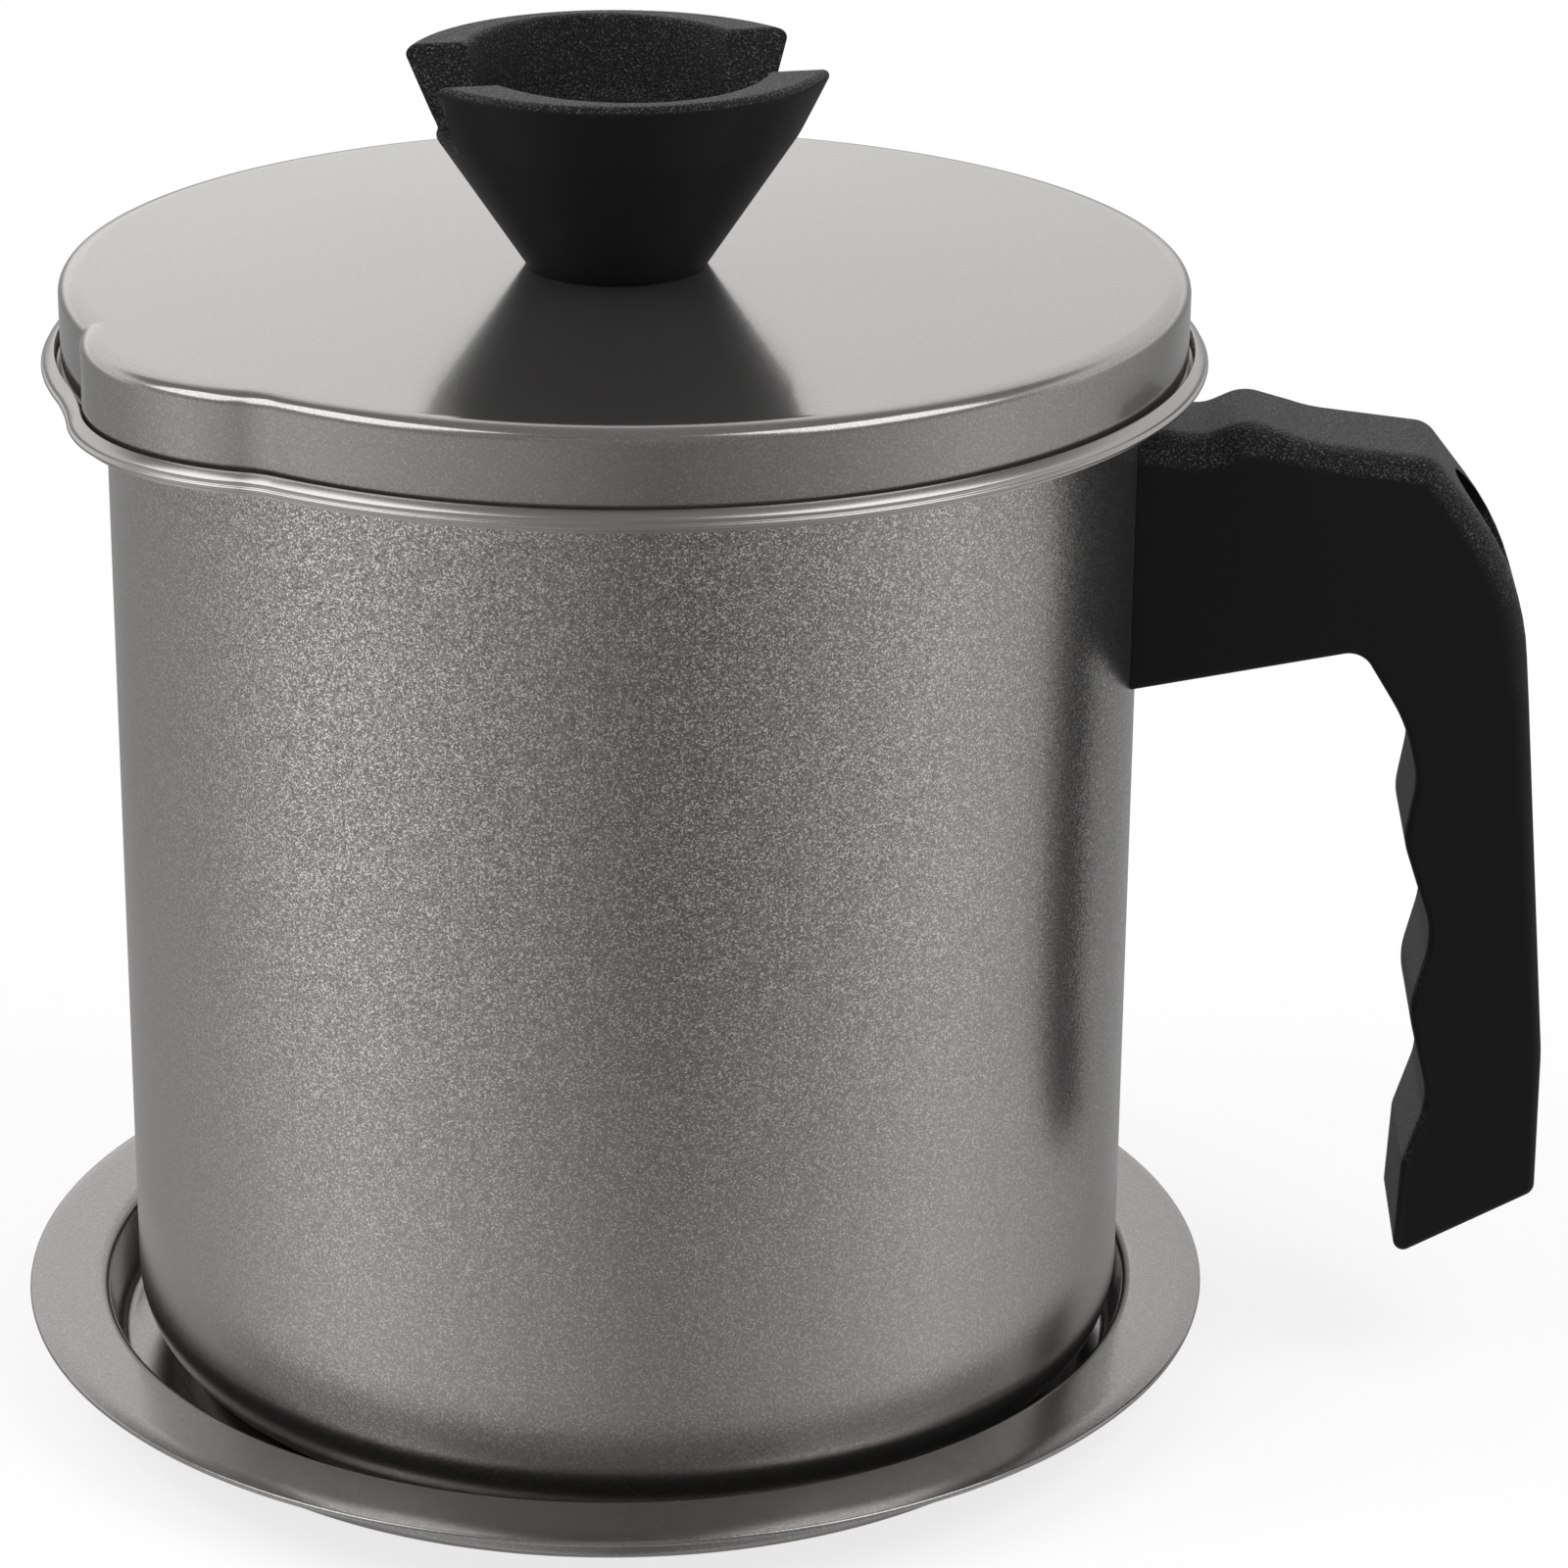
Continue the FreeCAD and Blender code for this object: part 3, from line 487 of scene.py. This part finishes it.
def blended(tree, share, first, second, blend="MIX"):
    """Mix of two colours by the share; each is a fixed colour or a socket."""
    node = tree.nodes.new("ShaderNodeMix")
    node.data_type = "RGBA"
    node.blend_type = blend
    feed(tree, share, node.inputs["Factor"])
    feed(tree, first, node.inputs["A"])
    feed(tree, second, node.inputs["B"])
    return node.outputs["Result"]


def enamel(name, colour, flake, spread, coat, gloss, metal):
    """Metallic enamel: fine flakes, each tilted its own way and lighter or darker, under a clear layer.

    The function spread gives the share of the flakes, the roughness under the clear layer and a painted
    shade, from place to place; coat and gloss are the clear layer's weight and roughness.
    """
    flakes_per_metre, tilt_reach, painted_shade_depth = 6600.0, 0.2, 0.75
    flake_greys = [(0.0, 0.23), (0.5, 0.78), (0.8, 1.25), (0.9, 2.45)]
    painted_shade_colour = tuple(painted_shade_depth * c for c in colour)
    material, tree, shader = new_material(name)
    amount, roughness, painted_shade = spread(tree)
    amount = math_step(tree, "MULTIPLY", amount, flake)
    cells = tree.nodes.new("ShaderNodeTexVoronoi")
    cells.inputs["Scale"].default_value = flakes_per_metre
    tree.links.new(object_place(tree), cells.inputs["Vector"])
    pick = tree.nodes.new("ShaderNodeSeparateColor")
    tree.links.new(cells.outputs["Color"], pick.inputs["Color"])
    spark = ramp(tree, pick.outputs["Red"], flake_greys)
    # Painted shade: the colour is mixed towards a darker copy of itself where spread asks for it.
    base = blended(tree, painted_shade, (*colour, 1.0), (*painted_shade_colour, 1.0))
    feed(tree, blended(tree, amount, base, spark, "MULTIPLY"), shader.inputs["Base Color"])
    tilt = vector_step(tree, "SUBTRACT", cells.outputs["Color"], (0.5, 0.5, 0.5))
    tilt = vector_step(tree, "SCALE", tilt, math_step(tree, "MULTIPLY", amount, tilt_reach))
    surface = tree.nodes.new("ShaderNodeNewGeometry")
    tilt = vector_step(tree, "ADD", tilt, surface.outputs["Normal"])
    feed(tree, vector_step(tree, "NORMALIZE", tilt), shader.inputs["Normal"])
    shader.inputs["Metallic"].default_value = metal
    feed(tree, roughness, shader.inputs["Roughness"])
    shader.inputs["Coat Weight"].default_value = coat
    shader.inputs["Coat Roughness"].default_value = gloss
    shader.inputs["Coat IOR"].default_value = 1.5
    return material


def body_flakes(tree):
    """Strongest high on the wall and weaker at the base, the far left and the right, a painted highlight and
    shade that follows where the light falls; none on the rolled rim.
    """
    roughness, painted_shade = 0.26, 0.0
    height = axis_of(tree, object_place(tree), "Z")
    across = axis_of(tree, object_place(tree), "X")
    # Painted light: the flakes' sparkle and tone fade at the base, the far left and the right, where the wall
    # gets less light.
    painted_sparkle_base = soft_share(tree, height, 0.005, 0.095)
    below_rim = soft_share(tree, height, 0.1246, 0.1240)
    painted_sparkle_left = soft_share(tree, across, -0.058, -0.022)
    painted_sparkle_right = soft_share(tree, across, -0.01, 0.04)
    amount = between(tree, painted_sparkle_base, 0.3, 0.9)
    for share in (below_rim, between(tree, painted_sparkle_left, 0.25, 1.0), between(tree, painted_sparkle_right, 1.0, 0.65)):
        amount = math_step(tree, "MULTIPLY", amount, share)
    return amount, roughness, painted_shade


def lid_flakes(tree):
    """Almost none on the smooth top, some on the skirt, which is less glossy and carries painted shade that
    makes it darker than the top.
    """
    skirt = soft_share(tree, axis_of(tree, object_place(tree), "Z"), 0.1351, 0.1335)
    amount = between(tree, skirt, 0.06, 0.16)
    roughness = between(tree, skirt, 0.15, 0.22)
    # Painted shade: the upright skirt's colour is darkened by the skirt's share.
    return amount, roughness, math_step(tree, "MULTIPLY", skirt, 0.8)


def tray_flakes(tree):
    """A few everywhere."""
    amount, roughness, painted_shade = 0.15, 0.2, 0.0
    return amount, roughness, painted_shade


def moulding(name, colour):
    """Black moulded plastic: smooth on upright faces, a fine grain on upward ones, with shiny crests and grey
    specks painted on them as highlights.
    """
    grains_per_metre, relief_depth, painted_glint_grey, upright_shine = 3800.0, 0.0005, 0.15, 0.27
    material, tree, shader = new_material(name)
    surface = tree.nodes.new("ShaderNodeNewGeometry")
    upward = soft_share(tree, axis_of(tree, surface.outputs["Normal"], "Z"), 0.05, 0.4)
    grain = object_noise(tree, grains_per_metre, 3.0)
    # Painted highlight: light grey specks on the grain's crests, only on upward faces.
    painted_glint = math_step(tree, "MULTIPLY", ramp(tree, grain, [(0.56, 0.0), (0.68, 1.0)]), upward)
    feed(tree, blended(tree, painted_glint, (*colour, 1.0), grey(painted_glint_grey)), shader.inputs["Base Color"])
    feed(tree, between(tree, upward, 0.55, 0.35), shader.inputs["Roughness"])
    crests = ramp(tree, grain, [(0.42, 0.22), (0.58, 0.5), (0.7, 1.0)])
    feed(tree, blended(tree, upward, grey(upright_shine), crests), shader.inputs["Specular IOR Level"])
    relief = tree.nodes.new("ShaderNodeBump")
    relief.inputs["Distance"].default_value = relief_depth
    feed(tree, between(tree, upward, 0.03, 0.75), relief.inputs["Strength"])
    feed(tree, grain, relief.inputs["Height"])
    feed(tree, relief.outputs["Normal"], shader.inputs["Normal"])
    return material


def bare_metal(name, colour, roughness):
    """Bare metal with fine rubbed streaks, rougher or smoother than the roughness by the share streak."""
    streaks_per_metre, streak = 700.0, 0.3
    material, tree, shader = new_material(name)
    shader.inputs["Base Color"].default_value = (*colour, 1.0)
    shader.inputs["Metallic"].default_value = 1.0
    stops = [(0.3, roughness * (1 - streak)), (0.7, roughness * (1 + streak))]
    rubbed = ramp(tree, object_noise(tree, streaks_per_metre, 4.0), stops)
    feed(tree, rubbed, shader.inputs["Roughness"])
    return material


def finishes():
    """The object's materials by name, made once."""
    if "Body enamel" not in bpy.data.materials:
        looks = bpy.context.scene.container_finishes
        body, flake = looks.body_colour, looks.flake
        enamel("Body enamel", body, flake, body_flakes, coat=0.25, gloss=0.2, metal=0.95)
        enamel("Lid enamel", body, flake, lid_flakes, coat=0.5, gloss=0.06, metal=0.88)
        enamel("Tray enamel", looks.tray_colour, flake, tray_flakes, coat=0.3, gloss=0.06, metal=0.95)
        moulding("Black moulding", looks.moulded_colour)
        bare_metal("Stainless", looks.steel_colour, 0.28)
        bare_metal("Plated steel", looks.steel_colour, 0.2)
        bare_metal("Brass", looks.brass_colour, 0.25)
    return bpy.data.materials


# ---------------------------------------------------------------- pieces

class CONTAINER_OT_tray(bpy.types.Operator):
    """Turns the saucer tray from its sheet profile

    The well's wall starts at radius foot and leans outwards; each bend's arc starts corner * turn from where
    its two straights would meet. The flange ends in a rolled edge of two rounds.
    """

    bl_idname = "container.tray"
    bl_label = "Tray"

    def execute(self, context):
        foot, lean, height, sheet, thinning, corner = 61.66, 1.54, 8.85, 0.8, 0.14, 1.5
        under, over = corner - sheet, corner + sheet
        rim, over_round, over_drop, over_end, under_round, under_drop = 72.0, 0.4, 0.66, 78, 0.25, 0.72
        # The flange, as radii and heights over its lower and its upper face, up to the rolled edge.
        flange_under = [(66.5, 0.0), (69.4, 0.0), (71.0, -0.1)]
        flange_over = [(70.9, -0.12), (70.2, -0.02), (69.4, 0.0), (66.0, 0.0)]
        tilt = math.degrees(math.atan2(lean, height - sheet))
        turn = math.tan(math.radians((90 - tilt) / 2))
        profile = [(0, 0), (20, 0), (40, 0), (56, 0)]
        profile += arc_rows(foot - over * turn, over, over, -90, -tilt, count=10)
        profile += arc_rows(foot + lean + under * turn, height - corner, under, 180 - tilt, 90, count=7)
        profile += [(reach, height - sheet + rise) for reach, rise in flange_under]
        profile += arc_rows(rim - under_round, height - under_drop, under_round, -90, 0, count=4)
        profile += arc_rows(rim - over_round, height - over_drop, over_round, 0, over_end, count=7)
        profile += [(reach, height + rise) for reach, rise in flange_over]
        inner = foot - sheet + thinning
        profile += arc_rows(inner + lean + corner * turn, height - corner, corner, 90, 180 - tilt, count=10)
        profile += arc_rows(inner - corner * turn, sheet + corner, corner, -tilt, -90, count=10)
        profile += [(50, sheet), (30, sheet), (0, sheet)]
        mesh = grid_mesh("Tray", turned_surface(profile, columns=360))
        place("Tray", mesh, finishes()["Tray enamel"], "tray", "tray")
        return {"FINISHED"}


class CONTAINER_OT_pot(bpy.types.Operator):
    """Draws the pot's wall, seat, spout and rim bead as one closed sheet"""

    bl_idname = "container.pot"
    bl_label = "Pot"

    def execute(self, context):
        radius, sheet, corner, flare = 60.0, 0.7, 10.7, 1.5
        flare_up = SEAT - sheet - flare
        floor, wall = (0, 20, 38), (30, 60, 90, 110)
        # The rim, as insets from its outline and heights over the seat: rolled bead, lip, and inner face.
        bead = [
            (0.95, -0.70), (0.95, -0.30), (0.80, -0.20), (0.50, -0.17), (0.25, -0.12), (0.08, -0.02),
            (0.00, 0.13), (0.02, 0.26), (0.09, 0.37), (0.20, 0.45), (0.30, 0.52), (0.335, 0.62)]
        lip = [
            (0.32, 0.72), (0.34, 0.83), (0.40, 0.96), (0.52, 1.10), (0.67, 1.24), (0.85, 1.38), (1.03, 1.51),
            (1.20, 1.62), (1.34, 1.69), (1.46, 1.725), (1.53, 1.72), (1.58, 1.68), (1.60, 1.60)]
        inside = [(1.60, 0.35), (1.67, 0.12), (1.83, 0.00)]
        profile = [station(reach, 0) for reach in floor]
        profile += bend(radius - corner, corner, corner, -90, 0, count=18)
        profile += [station(radius, up) for up in wall]
        profile += bend(radius + flare, flare_up, flare, 180, 90, count=7)
        profile += [station(inset, SEAT + up, True) for inset, up in bead + lip + inside]
        profile += bend(radius + flare, flare_up, flare + sheet, 90, 180, count=10)
        profile += [station(radius - sheet, up) for up in wall[::-1]]
        profile += bend(radius - corner, corner, corner - sheet, 0, -90, count=16)
        profile += [station(reach, sheet) for reach in floor[::-1]]
        grid = outline_surface(profile, RIM_OUTLINE) + POT_FOOT
        place("Pot", grid_mesh("Pot", grid), finishes()["Body enamel"], "pot", "pot_body")
        return {"FINISHED"}


class CONTAINER_OT_lid(bpy.types.Operator):
    """Presses the lid: crowned top, narrow soft shoulder and a skirt with a bulge for the spout

    The top rises by the crown * (1 - (r / crown_reach)^2). Its middle stands off the axis with the knob, a
    shift that fades between the two radii of knob_zone.
    """

    bl_idname = "container.lid"
    bl_label = "Lid"

    def execute(self, context):
        crown = context.scene.container_sizes.crown / MM
        crown_reach, knob_zone = 60, (14, 34)
        sheet, hem, top = 0.7, 0.15, LID_HEIGHT
        # The shoulder: a tight round out of the skirt as far as the lean, then a wide one up to the top.
        tight, tight_drop, wide, wide_inset, lean = 1.5, 1.671, 6.0, 2.737, 75.96
        tight_up, wide_up = top - tight_drop, top - wide
        skirt = (hem, 2.5, 5.5)
        # Over the top, rows (share of the circle, radius) lead from the outline to plain circles.
        mixes = [(0.25, 57), (0.5, 54), (0.75, 51)]
        radii = [48, 44, 38, 32, 26, 20, 14, 9, 5, 2.75]
        profile = [station(0.0, up, True) for up in skirt]
        profile += bend(tight, tight_up, tight, 0, lean, count=14, outline=True)
        profile += bend(wide_inset, wide_up, wide, lean, 90, count=10, outline=True)
        profile += [(r, wide_inset, share, top) for share, r in mixes]
        profile += [station(r, top) for r in radii]
        profile += [station(r, top - sheet) for r in radii[::-1]]
        profile += [(r, wide_inset, share, top - sheet) for share, r in mixes[::-1]]
        profile += bend(wide_inset, wide_up, wide - sheet, 90, lean, count=8, outline=True)
        profile += bend(tight, tight_up, tight - sheet, lean, 0, count=6, outline=True)
        profile += [station(sheet, up, True) for up in skirt[::-1]]
        profile += [station(sheet - hem, 0.0, True), station(hem, 0.0, True)]
        grid = outline_surface(profile, LID_OUTLINE)
        r = np.linalg.norm(grid[..., :2], axis=-1)
        grid[..., 2] += crown * np.clip(1 - (r / crown_reach) ** 2, 0, 1)
        grid[..., 0] += KNOB_OFFSET * np.clip((knob_zone[1] - r) / (knob_zone[1] - knob_zone[0]), 0, 1)
        mesh = grid_mesh("Lid", grid + SEAT_CENTRE, ring=True)
        place("Lid", mesh, finishes()["Lid enamel"], "lid", "lid_shell")
        return {"FINISHED"}


class CONTAINER_OT_knob(bpy.types.Operator):
    """Smooths the moulded knob"""

    bl_idname = "container.knob"
    bl_label = "Knob"

    def execute(self, context):
        mesh = merged_copy("lid_knob", "Knob", sharp=35)
        shade_evenly(place("Knob", mesh, finishes()["Black moulding"], "lid", "lid_knob"))
        return {"FINISHED"}


class CONTAINER_OT_grip(bpy.types.Operator):
    """Models the grip: its side view spread across its width, long edges rounded more at the top, bored

    A row is the side view moved inwards by soft * (1 - sin a) and across by half_width - soft * (1 - cos a).
    """

    bl_idname = "container.grip"
    bl_label = "Grip"

    def execute(self, context):
        half_width, step, edge_rows, flat_rows = 9.75, 1.6, 9, 7
        points, inward, soft = soft_polygon(GRIP_SIDE, step)
        swing = np.radians(np.linspace(0, 90, edge_rows))
        middle = np.linspace(-1, 1, flat_rows + 2)[1:-1]
        edge = [(half_width - soft * (1 - math.cos(a)), soft * (1 - math.sin(a))) for a in swing]
        rows = edge + [((half_width - soft) * share, 0 * soft) for share in -middle]
        rows += [(-across, deep) for across, deep in edge[::-1]]
        grid = []
        for across, deep in rows:
            x, z = (points + inward * deep[:, None]).T
            grid.append(np.stack([x, across, z], axis=1))
        block = tube_mesh("Grip block", np.array(grid) + POT_FOOT)
        # The bore, as (radius, distance from the pot's axis), has steps for the bracket's boss, the screw's
        # shank and the well over its head.
        boss, shank, well, screw_up = 6.55, 2.75, 5.75, 105.75
        root, boss_end, shank_end, back = 56, 68.3, 77, 122
        bore = [(0, root), (boss, root), (boss, boss_end), (shank, boss_end), (shank, shank_end),
                (well, shank_end), (well, back), (0, back)]
        bar = turned_surface(bore, columns=48)[..., [2, 0, 1]] + POT_FOOT + np.array([0, 0, screw_up])
        pot_radius, wall_low, wall_high = 60.05, 70, 130
        wall = [(0, wall_low), (pot_radius, wall_low), (pot_radius, wall_high), (0, wall_high)]
        wall = turned_surface(wall, columns=720) + np.array([POT_X, 0, 0])
        mesh = bored_mesh("Grip", block, grid_mesh("Grip bore", bar), grid_mesh("Pot wall", wall))
        shade_evenly(place("Grip", mesh, finishes()["Black moulding"], "pot", "handle_grip"))
        return {"FINISHED"}


class CONTAINER_OT_strainer(bpy.types.Operator):
    """Weaves the strainer's cup: two sets of wires that pass over and under each other

    A wire has four sides and waves along the cup's normal by swing * sin(pi / 2 * half pitches along it).
    """

    bl_idname = "container.strainer"
    bl_label = "Strainer mesh"

    def execute(self, context):
        pitch = context.scene.container_sizes.wire_pitch / MM
        cloth_radius, wire_radius, swing = 70.4, 0.12, 0.08
        half = int(cloth_radius / pitch)
        sides = np.arange(4)[None]
        ahead = (sides + 1) % 4
        rings, faces, start = [], [], 0
        for flipped in (False, True):
            for k in range(-half, half):
                offset = (k + 0.5) * pitch
                reach = int(2 * math.sqrt(cloth_radius**2 - offset**2) / pitch)
                steps = np.arange(-reach, reach + 1)
                flat = np.stack([steps * pitch / 2, np.full(len(steps), offset)], axis=1)
                wave = (-1 if flipped else 1) * (-1) ** k * swing * np.sin(steps * math.pi / 2)
                centre, normal = drape(flat[:, ::-1] if flipped else flat)
                along = np.gradient(centre, axis=0)
                beside = np.cross(along / np.linalg.norm(along, axis=1)[:, None], normal)
                centre += normal * wave[:, None]
                corners = [centre + wire_radius * v for v in (normal, beside, -normal, -beside)]
                rings.append(np.stack(corners, axis=1).reshape(-1, 3))
                low = start + 4 * np.arange(len(steps) - 1)[:, None]
                quads = np.stack([low + sides, low + 4 + sides, low + 4 + ahead, low + ahead], axis=2)
                last = start + 4 * (len(steps) - 1)
                faces += quads.reshape(-1, 4).tolist()
                faces += [[start, start + 1, start + 2, start + 3], [last + 3, last + 2, last + 1, last]]
                start += 4 * len(steps)
        mesh = finish_mesh(raw_mesh("Strainer mesh", np.concatenate(rings) + SEAT_CENTRE, faces), sharp=100)
        place("Strainer_mesh", mesh, finishes()["Stainless"], "strainer", "strainer_mesh")
        return {"FINISHED"}


class CONTAINER_OT_hardware(bpy.types.Operator):
    """Finishes the screws, washers, boss, insert and the strainer's sheet and wire"""

    bl_idname = "container.hardware"
    bl_label = "Hardware"

    def execute(self, context):
        metals = {
            "Plated steel": ("handle_screw", "handle_flat_washer", "handle_spring_washer",
                             "knob_screw", "knob_flat_washer", "knob_spring_washer"),
            "Stainless": ("handle_bracket", "strainer_frame", "strainer_clamp_ring", "strainer_lift_loop"),
            "Brass": ("knob_insert",),
        }
        for finish, nodes in metals.items():
            for node in nodes:
                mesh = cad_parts[node].data
                mesh.materials.clear()
                mesh.materials.append(finishes()[finish])
        return {"FINISHED"}


# ---------------------------------------------------------------- studio

def softbox(name, centre, size, aim, power):
    """A soft rectangular lamp at centre, facing aim."""
    lamp = bpy.data.lights.new(name, "AREA")
    lamp.shape = "RECTANGLE"
    lamp.size, lamp.size_y = size
    lamp.energy = power
    light = bpy.data.objects.new(name, lamp)
    bpy.context.scene.collection.objects.link(light)
    light.location = centre
    light.rotation_euler = (Vector(aim) - Vector(centre)).to_track_quat("-Z", "Y").to_euler()


def coloured(tree, kind, colour):
    """A diffuse or background shader of one colour, which is fixed or a socket."""
    node = tree.nodes.new(kind)
    feed(tree, colour, node.inputs["Color"])
    return node.outputs[0]


def mixed(tree, share, first, second):
    """Mix of two shaders; the share of the second is a number or a socket."""
    node = tree.nodes.new("ShaderNodeMixShader")
    for socket, value in zip(node.inputs, (share, first, second)):
        feed(tree, value, socket)
    return node.outputs["Shader"]


def straight_rays(tree):
    """1 for what the camera sees, also through glass; 0 for light and reflections."""
    rays = tree.nodes.new("ShaderNodeLightPath")
    return math_step(tree, "MAXIMUM", rays.outputs["Is Camera Ray"], rays.outputs["Is Transmission Ray"])


def paper():
    """White floor that takes the object's shadow and fades out at a distance.

    The camera sees the floor's own glow plus a dull surface, so the shadow stays light; reflections meet
    a pale surface through which the room shows, as it does in polished stone.
    """
    glow_strength, seen_grey, pale_grey, room_share = 0.74, 0.45, 0.95, 0.8
    fade_start, fade_end = 0.11, 0.24
    material = bpy.data.materials.new("Paper")
    tree, surface = blank_tree(material, "ShaderNodeOutputMaterial")
    glow = tree.nodes.new("ShaderNodeEmission")
    glow.inputs["Strength"].default_value = glow_strength
    both = tree.nodes.new("ShaderNodeAddShader")
    tree.links.new(coloured(tree, "ShaderNodeBsdfDiffuse", grey(seen_grey)), both.inputs[0])
    tree.links.new(glow.outputs["Emission"], both.inputs[1])
    clear = tree.nodes.new("ShaderNodeBsdfTransparent").outputs["BSDF"]
    polished = mixed(tree, room_share, coloured(tree, "ShaderNodeBsdfDiffuse", grey(pale_grey)), clear)
    near = mixed(tree, straight_rays(tree), polished, both.outputs["Shader"])
    reach = tree.nodes.new("ShaderNodeVectorMath")
    reach.operation = "LENGTH"
    tree.links.new(object_place(tree), reach.inputs[0])
    fade = soft_share(tree, reach.outputs["Value"], fade_start, fade_end)
    tree.links.new(mixed(tree, fade, near, clear), surface)
    return material


def surroundings():
    """White for the camera, also through glass; for lamps and reflections a pale room.

    Around the horizon a ramp over the bearing (0.5 is the camera's side, 0.25 its left, 0.75 its right) has
    two bright windows. Above it the wall behind the object is white, a little darker on the right, and the
    wall behind the camera is grey. The ceiling is dark.
    """
    world = bpy.data.worlds.new("Studio")
    tree, surface = blank_tree(world, "ShaderNodeOutputWorld")
    direction = tree.nodes.new("ShaderNodeTexCoord").outputs["Generated"]
    across, depth, height = (axis_of(tree, direction, axis) for axis in "XYZ")
    bearing = math_step(tree, "ARCTAN2", across, math_step(tree, "MULTIPLY", depth, -1.0))
    turn = math_step(tree, "MULTIPLY_ADD", bearing, 0.5 / math.pi, 0.5)
    around = ramp(tree, turn, [(0.0, 0.42), (0.1, 0.3), (0.22, 0.43), (0.33, 0.78), (0.42, 0.5), (0.53, 0.19),
                               (0.62, 0.37), (0.72, 0.7), (0.8, 0.52), (0.9, 0.27), (1.0, 0.42)])
    back = math_step(tree, "MULTIPLY_ADD", depth, 0.5, 0.5)
    wall = ramp(tree, back, [(0.0, 0.3), (0.5, 0.5), (0.62, 1.0), (1.0, 1.0)])
    right = soft_share(tree, across, -0.2, 0.2)
    rise = ramp(tree, height, [(0.22, 1.0), (0.3, 0.84), (0.42, 0.93)])
    for share in (between(tree, right, 1.04, 0.84), rise):
        wall = math_step(tree, "MULTIPLY", wall, share)
    low = blended(tree, soft_share(tree, height, -0.02, 0.2), around, wall)
    colour = blended(tree, soft_share(tree, height, 0.52, 0.7), low, grey(0.22))
    room = coloured(tree, "ShaderNodeBackground", colour)
    white = coloured(tree, "ShaderNodeBackground", grey(1.0))
    tree.links.new(mixed(tree, straight_rays(tree), room, white), surface)
    return world


class CONTAINER_OT_stage(bpy.types.Operator):
    """Sets the floor, the lamps, the world and the camera"""

    bl_idname = "container.stage"
    bl_label = "Stage"

    def execute(self, context):
        scene = context.scene
        side = 3.0
        corners = [(-side, -side, 0), (side, -side, 0), (side, side, 0), (-side, side, 0)]
        mesh = bpy.data.meshes.new("Floor")
        mesh.from_pydata(corners, [], [(0, 1, 2, 3)])
        mesh.materials.append(paper())
        floor = bpy.data.objects.new("Floor", mesh)
        scene.collection.objects.link(floor)
        for name, across in (("Left softbox", -0.62), ("Right softbox", 0.62)):
            softbox(name, centre=(across, -0.28, 0.86), size=(0.7, 0.6), aim=(0, 0, 0.1), power=2.6)
        scene.world = surroundings()
        lens = bpy.data.cameras.new("Camera")
        lens.sensor_width = 36.0
        lens.lens = CAMERA_LENS
        lens.clip_start = 0.01
        camera = bpy.data.objects.new("Camera", lens)
        camera.location = CAMERA_PLACE
        camera.rotation_euler = Euler([math.radians(angle) for angle in CAMERA_TURN])
        scene.collection.objects.link(camera)
        scene.camera = camera
        scene.view_settings.view_transform = "Standard"
        return {"FINISHED"}


class CONTAINER_PT_panel(bpy.types.Panel):
    """Lists the container's pieces and their settings"""

    bl_idname = "CONTAINER_PT_panel"
    bl_label = "Grease container"
    bl_space_type = "VIEW_3D"
    bl_region_type = "UI"
    bl_category = "Container"

    def draw(self, context):
        layout = self.layout
        for group in (context.scene.container_sizes, context.scene.container_finishes):
            for name in group.__annotations__:
                layout.prop(group, name)
        for piece in PIECES:
            layout.operator(piece.bl_idname)


PIECES = (
    CONTAINER_OT_tray,
    CONTAINER_OT_pot,
    CONTAINER_OT_lid,
    CONTAINER_OT_knob,
    CONTAINER_OT_grip,
    CONTAINER_OT_strainer,
    CONTAINER_OT_hardware,
    CONTAINER_OT_stage,
)
CLASSES = (ContainerSizes, ContainerFinishes) + PIECES + (CONTAINER_PT_panel,)


def register():
    for item in CLASSES:
        bpy.utils.register_class(item)
    bpy.types.Scene.container_sizes = bpy.props.PointerProperty(type=ContainerSizes)
    bpy.types.Scene.container_finishes = bpy.props.PointerProperty(type=ContainerFinishes)


def unregister():
    del bpy.types.Scene.container_finishes
    del bpy.types.Scene.container_sizes
    for item in reversed(CLASSES):
        bpy.utils.unregister_class(item)


def main():
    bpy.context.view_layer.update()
    register()
    bpy.ops.container.tray()
    bpy.ops.container.pot()
    bpy.ops.container.lid()
    bpy.ops.container.knob()
    bpy.ops.container.grip()
    bpy.ops.container.strainer()
    bpy.ops.container.hardware()
    bpy.ops.container.stage()


if __name__ == "__main__":
    main()
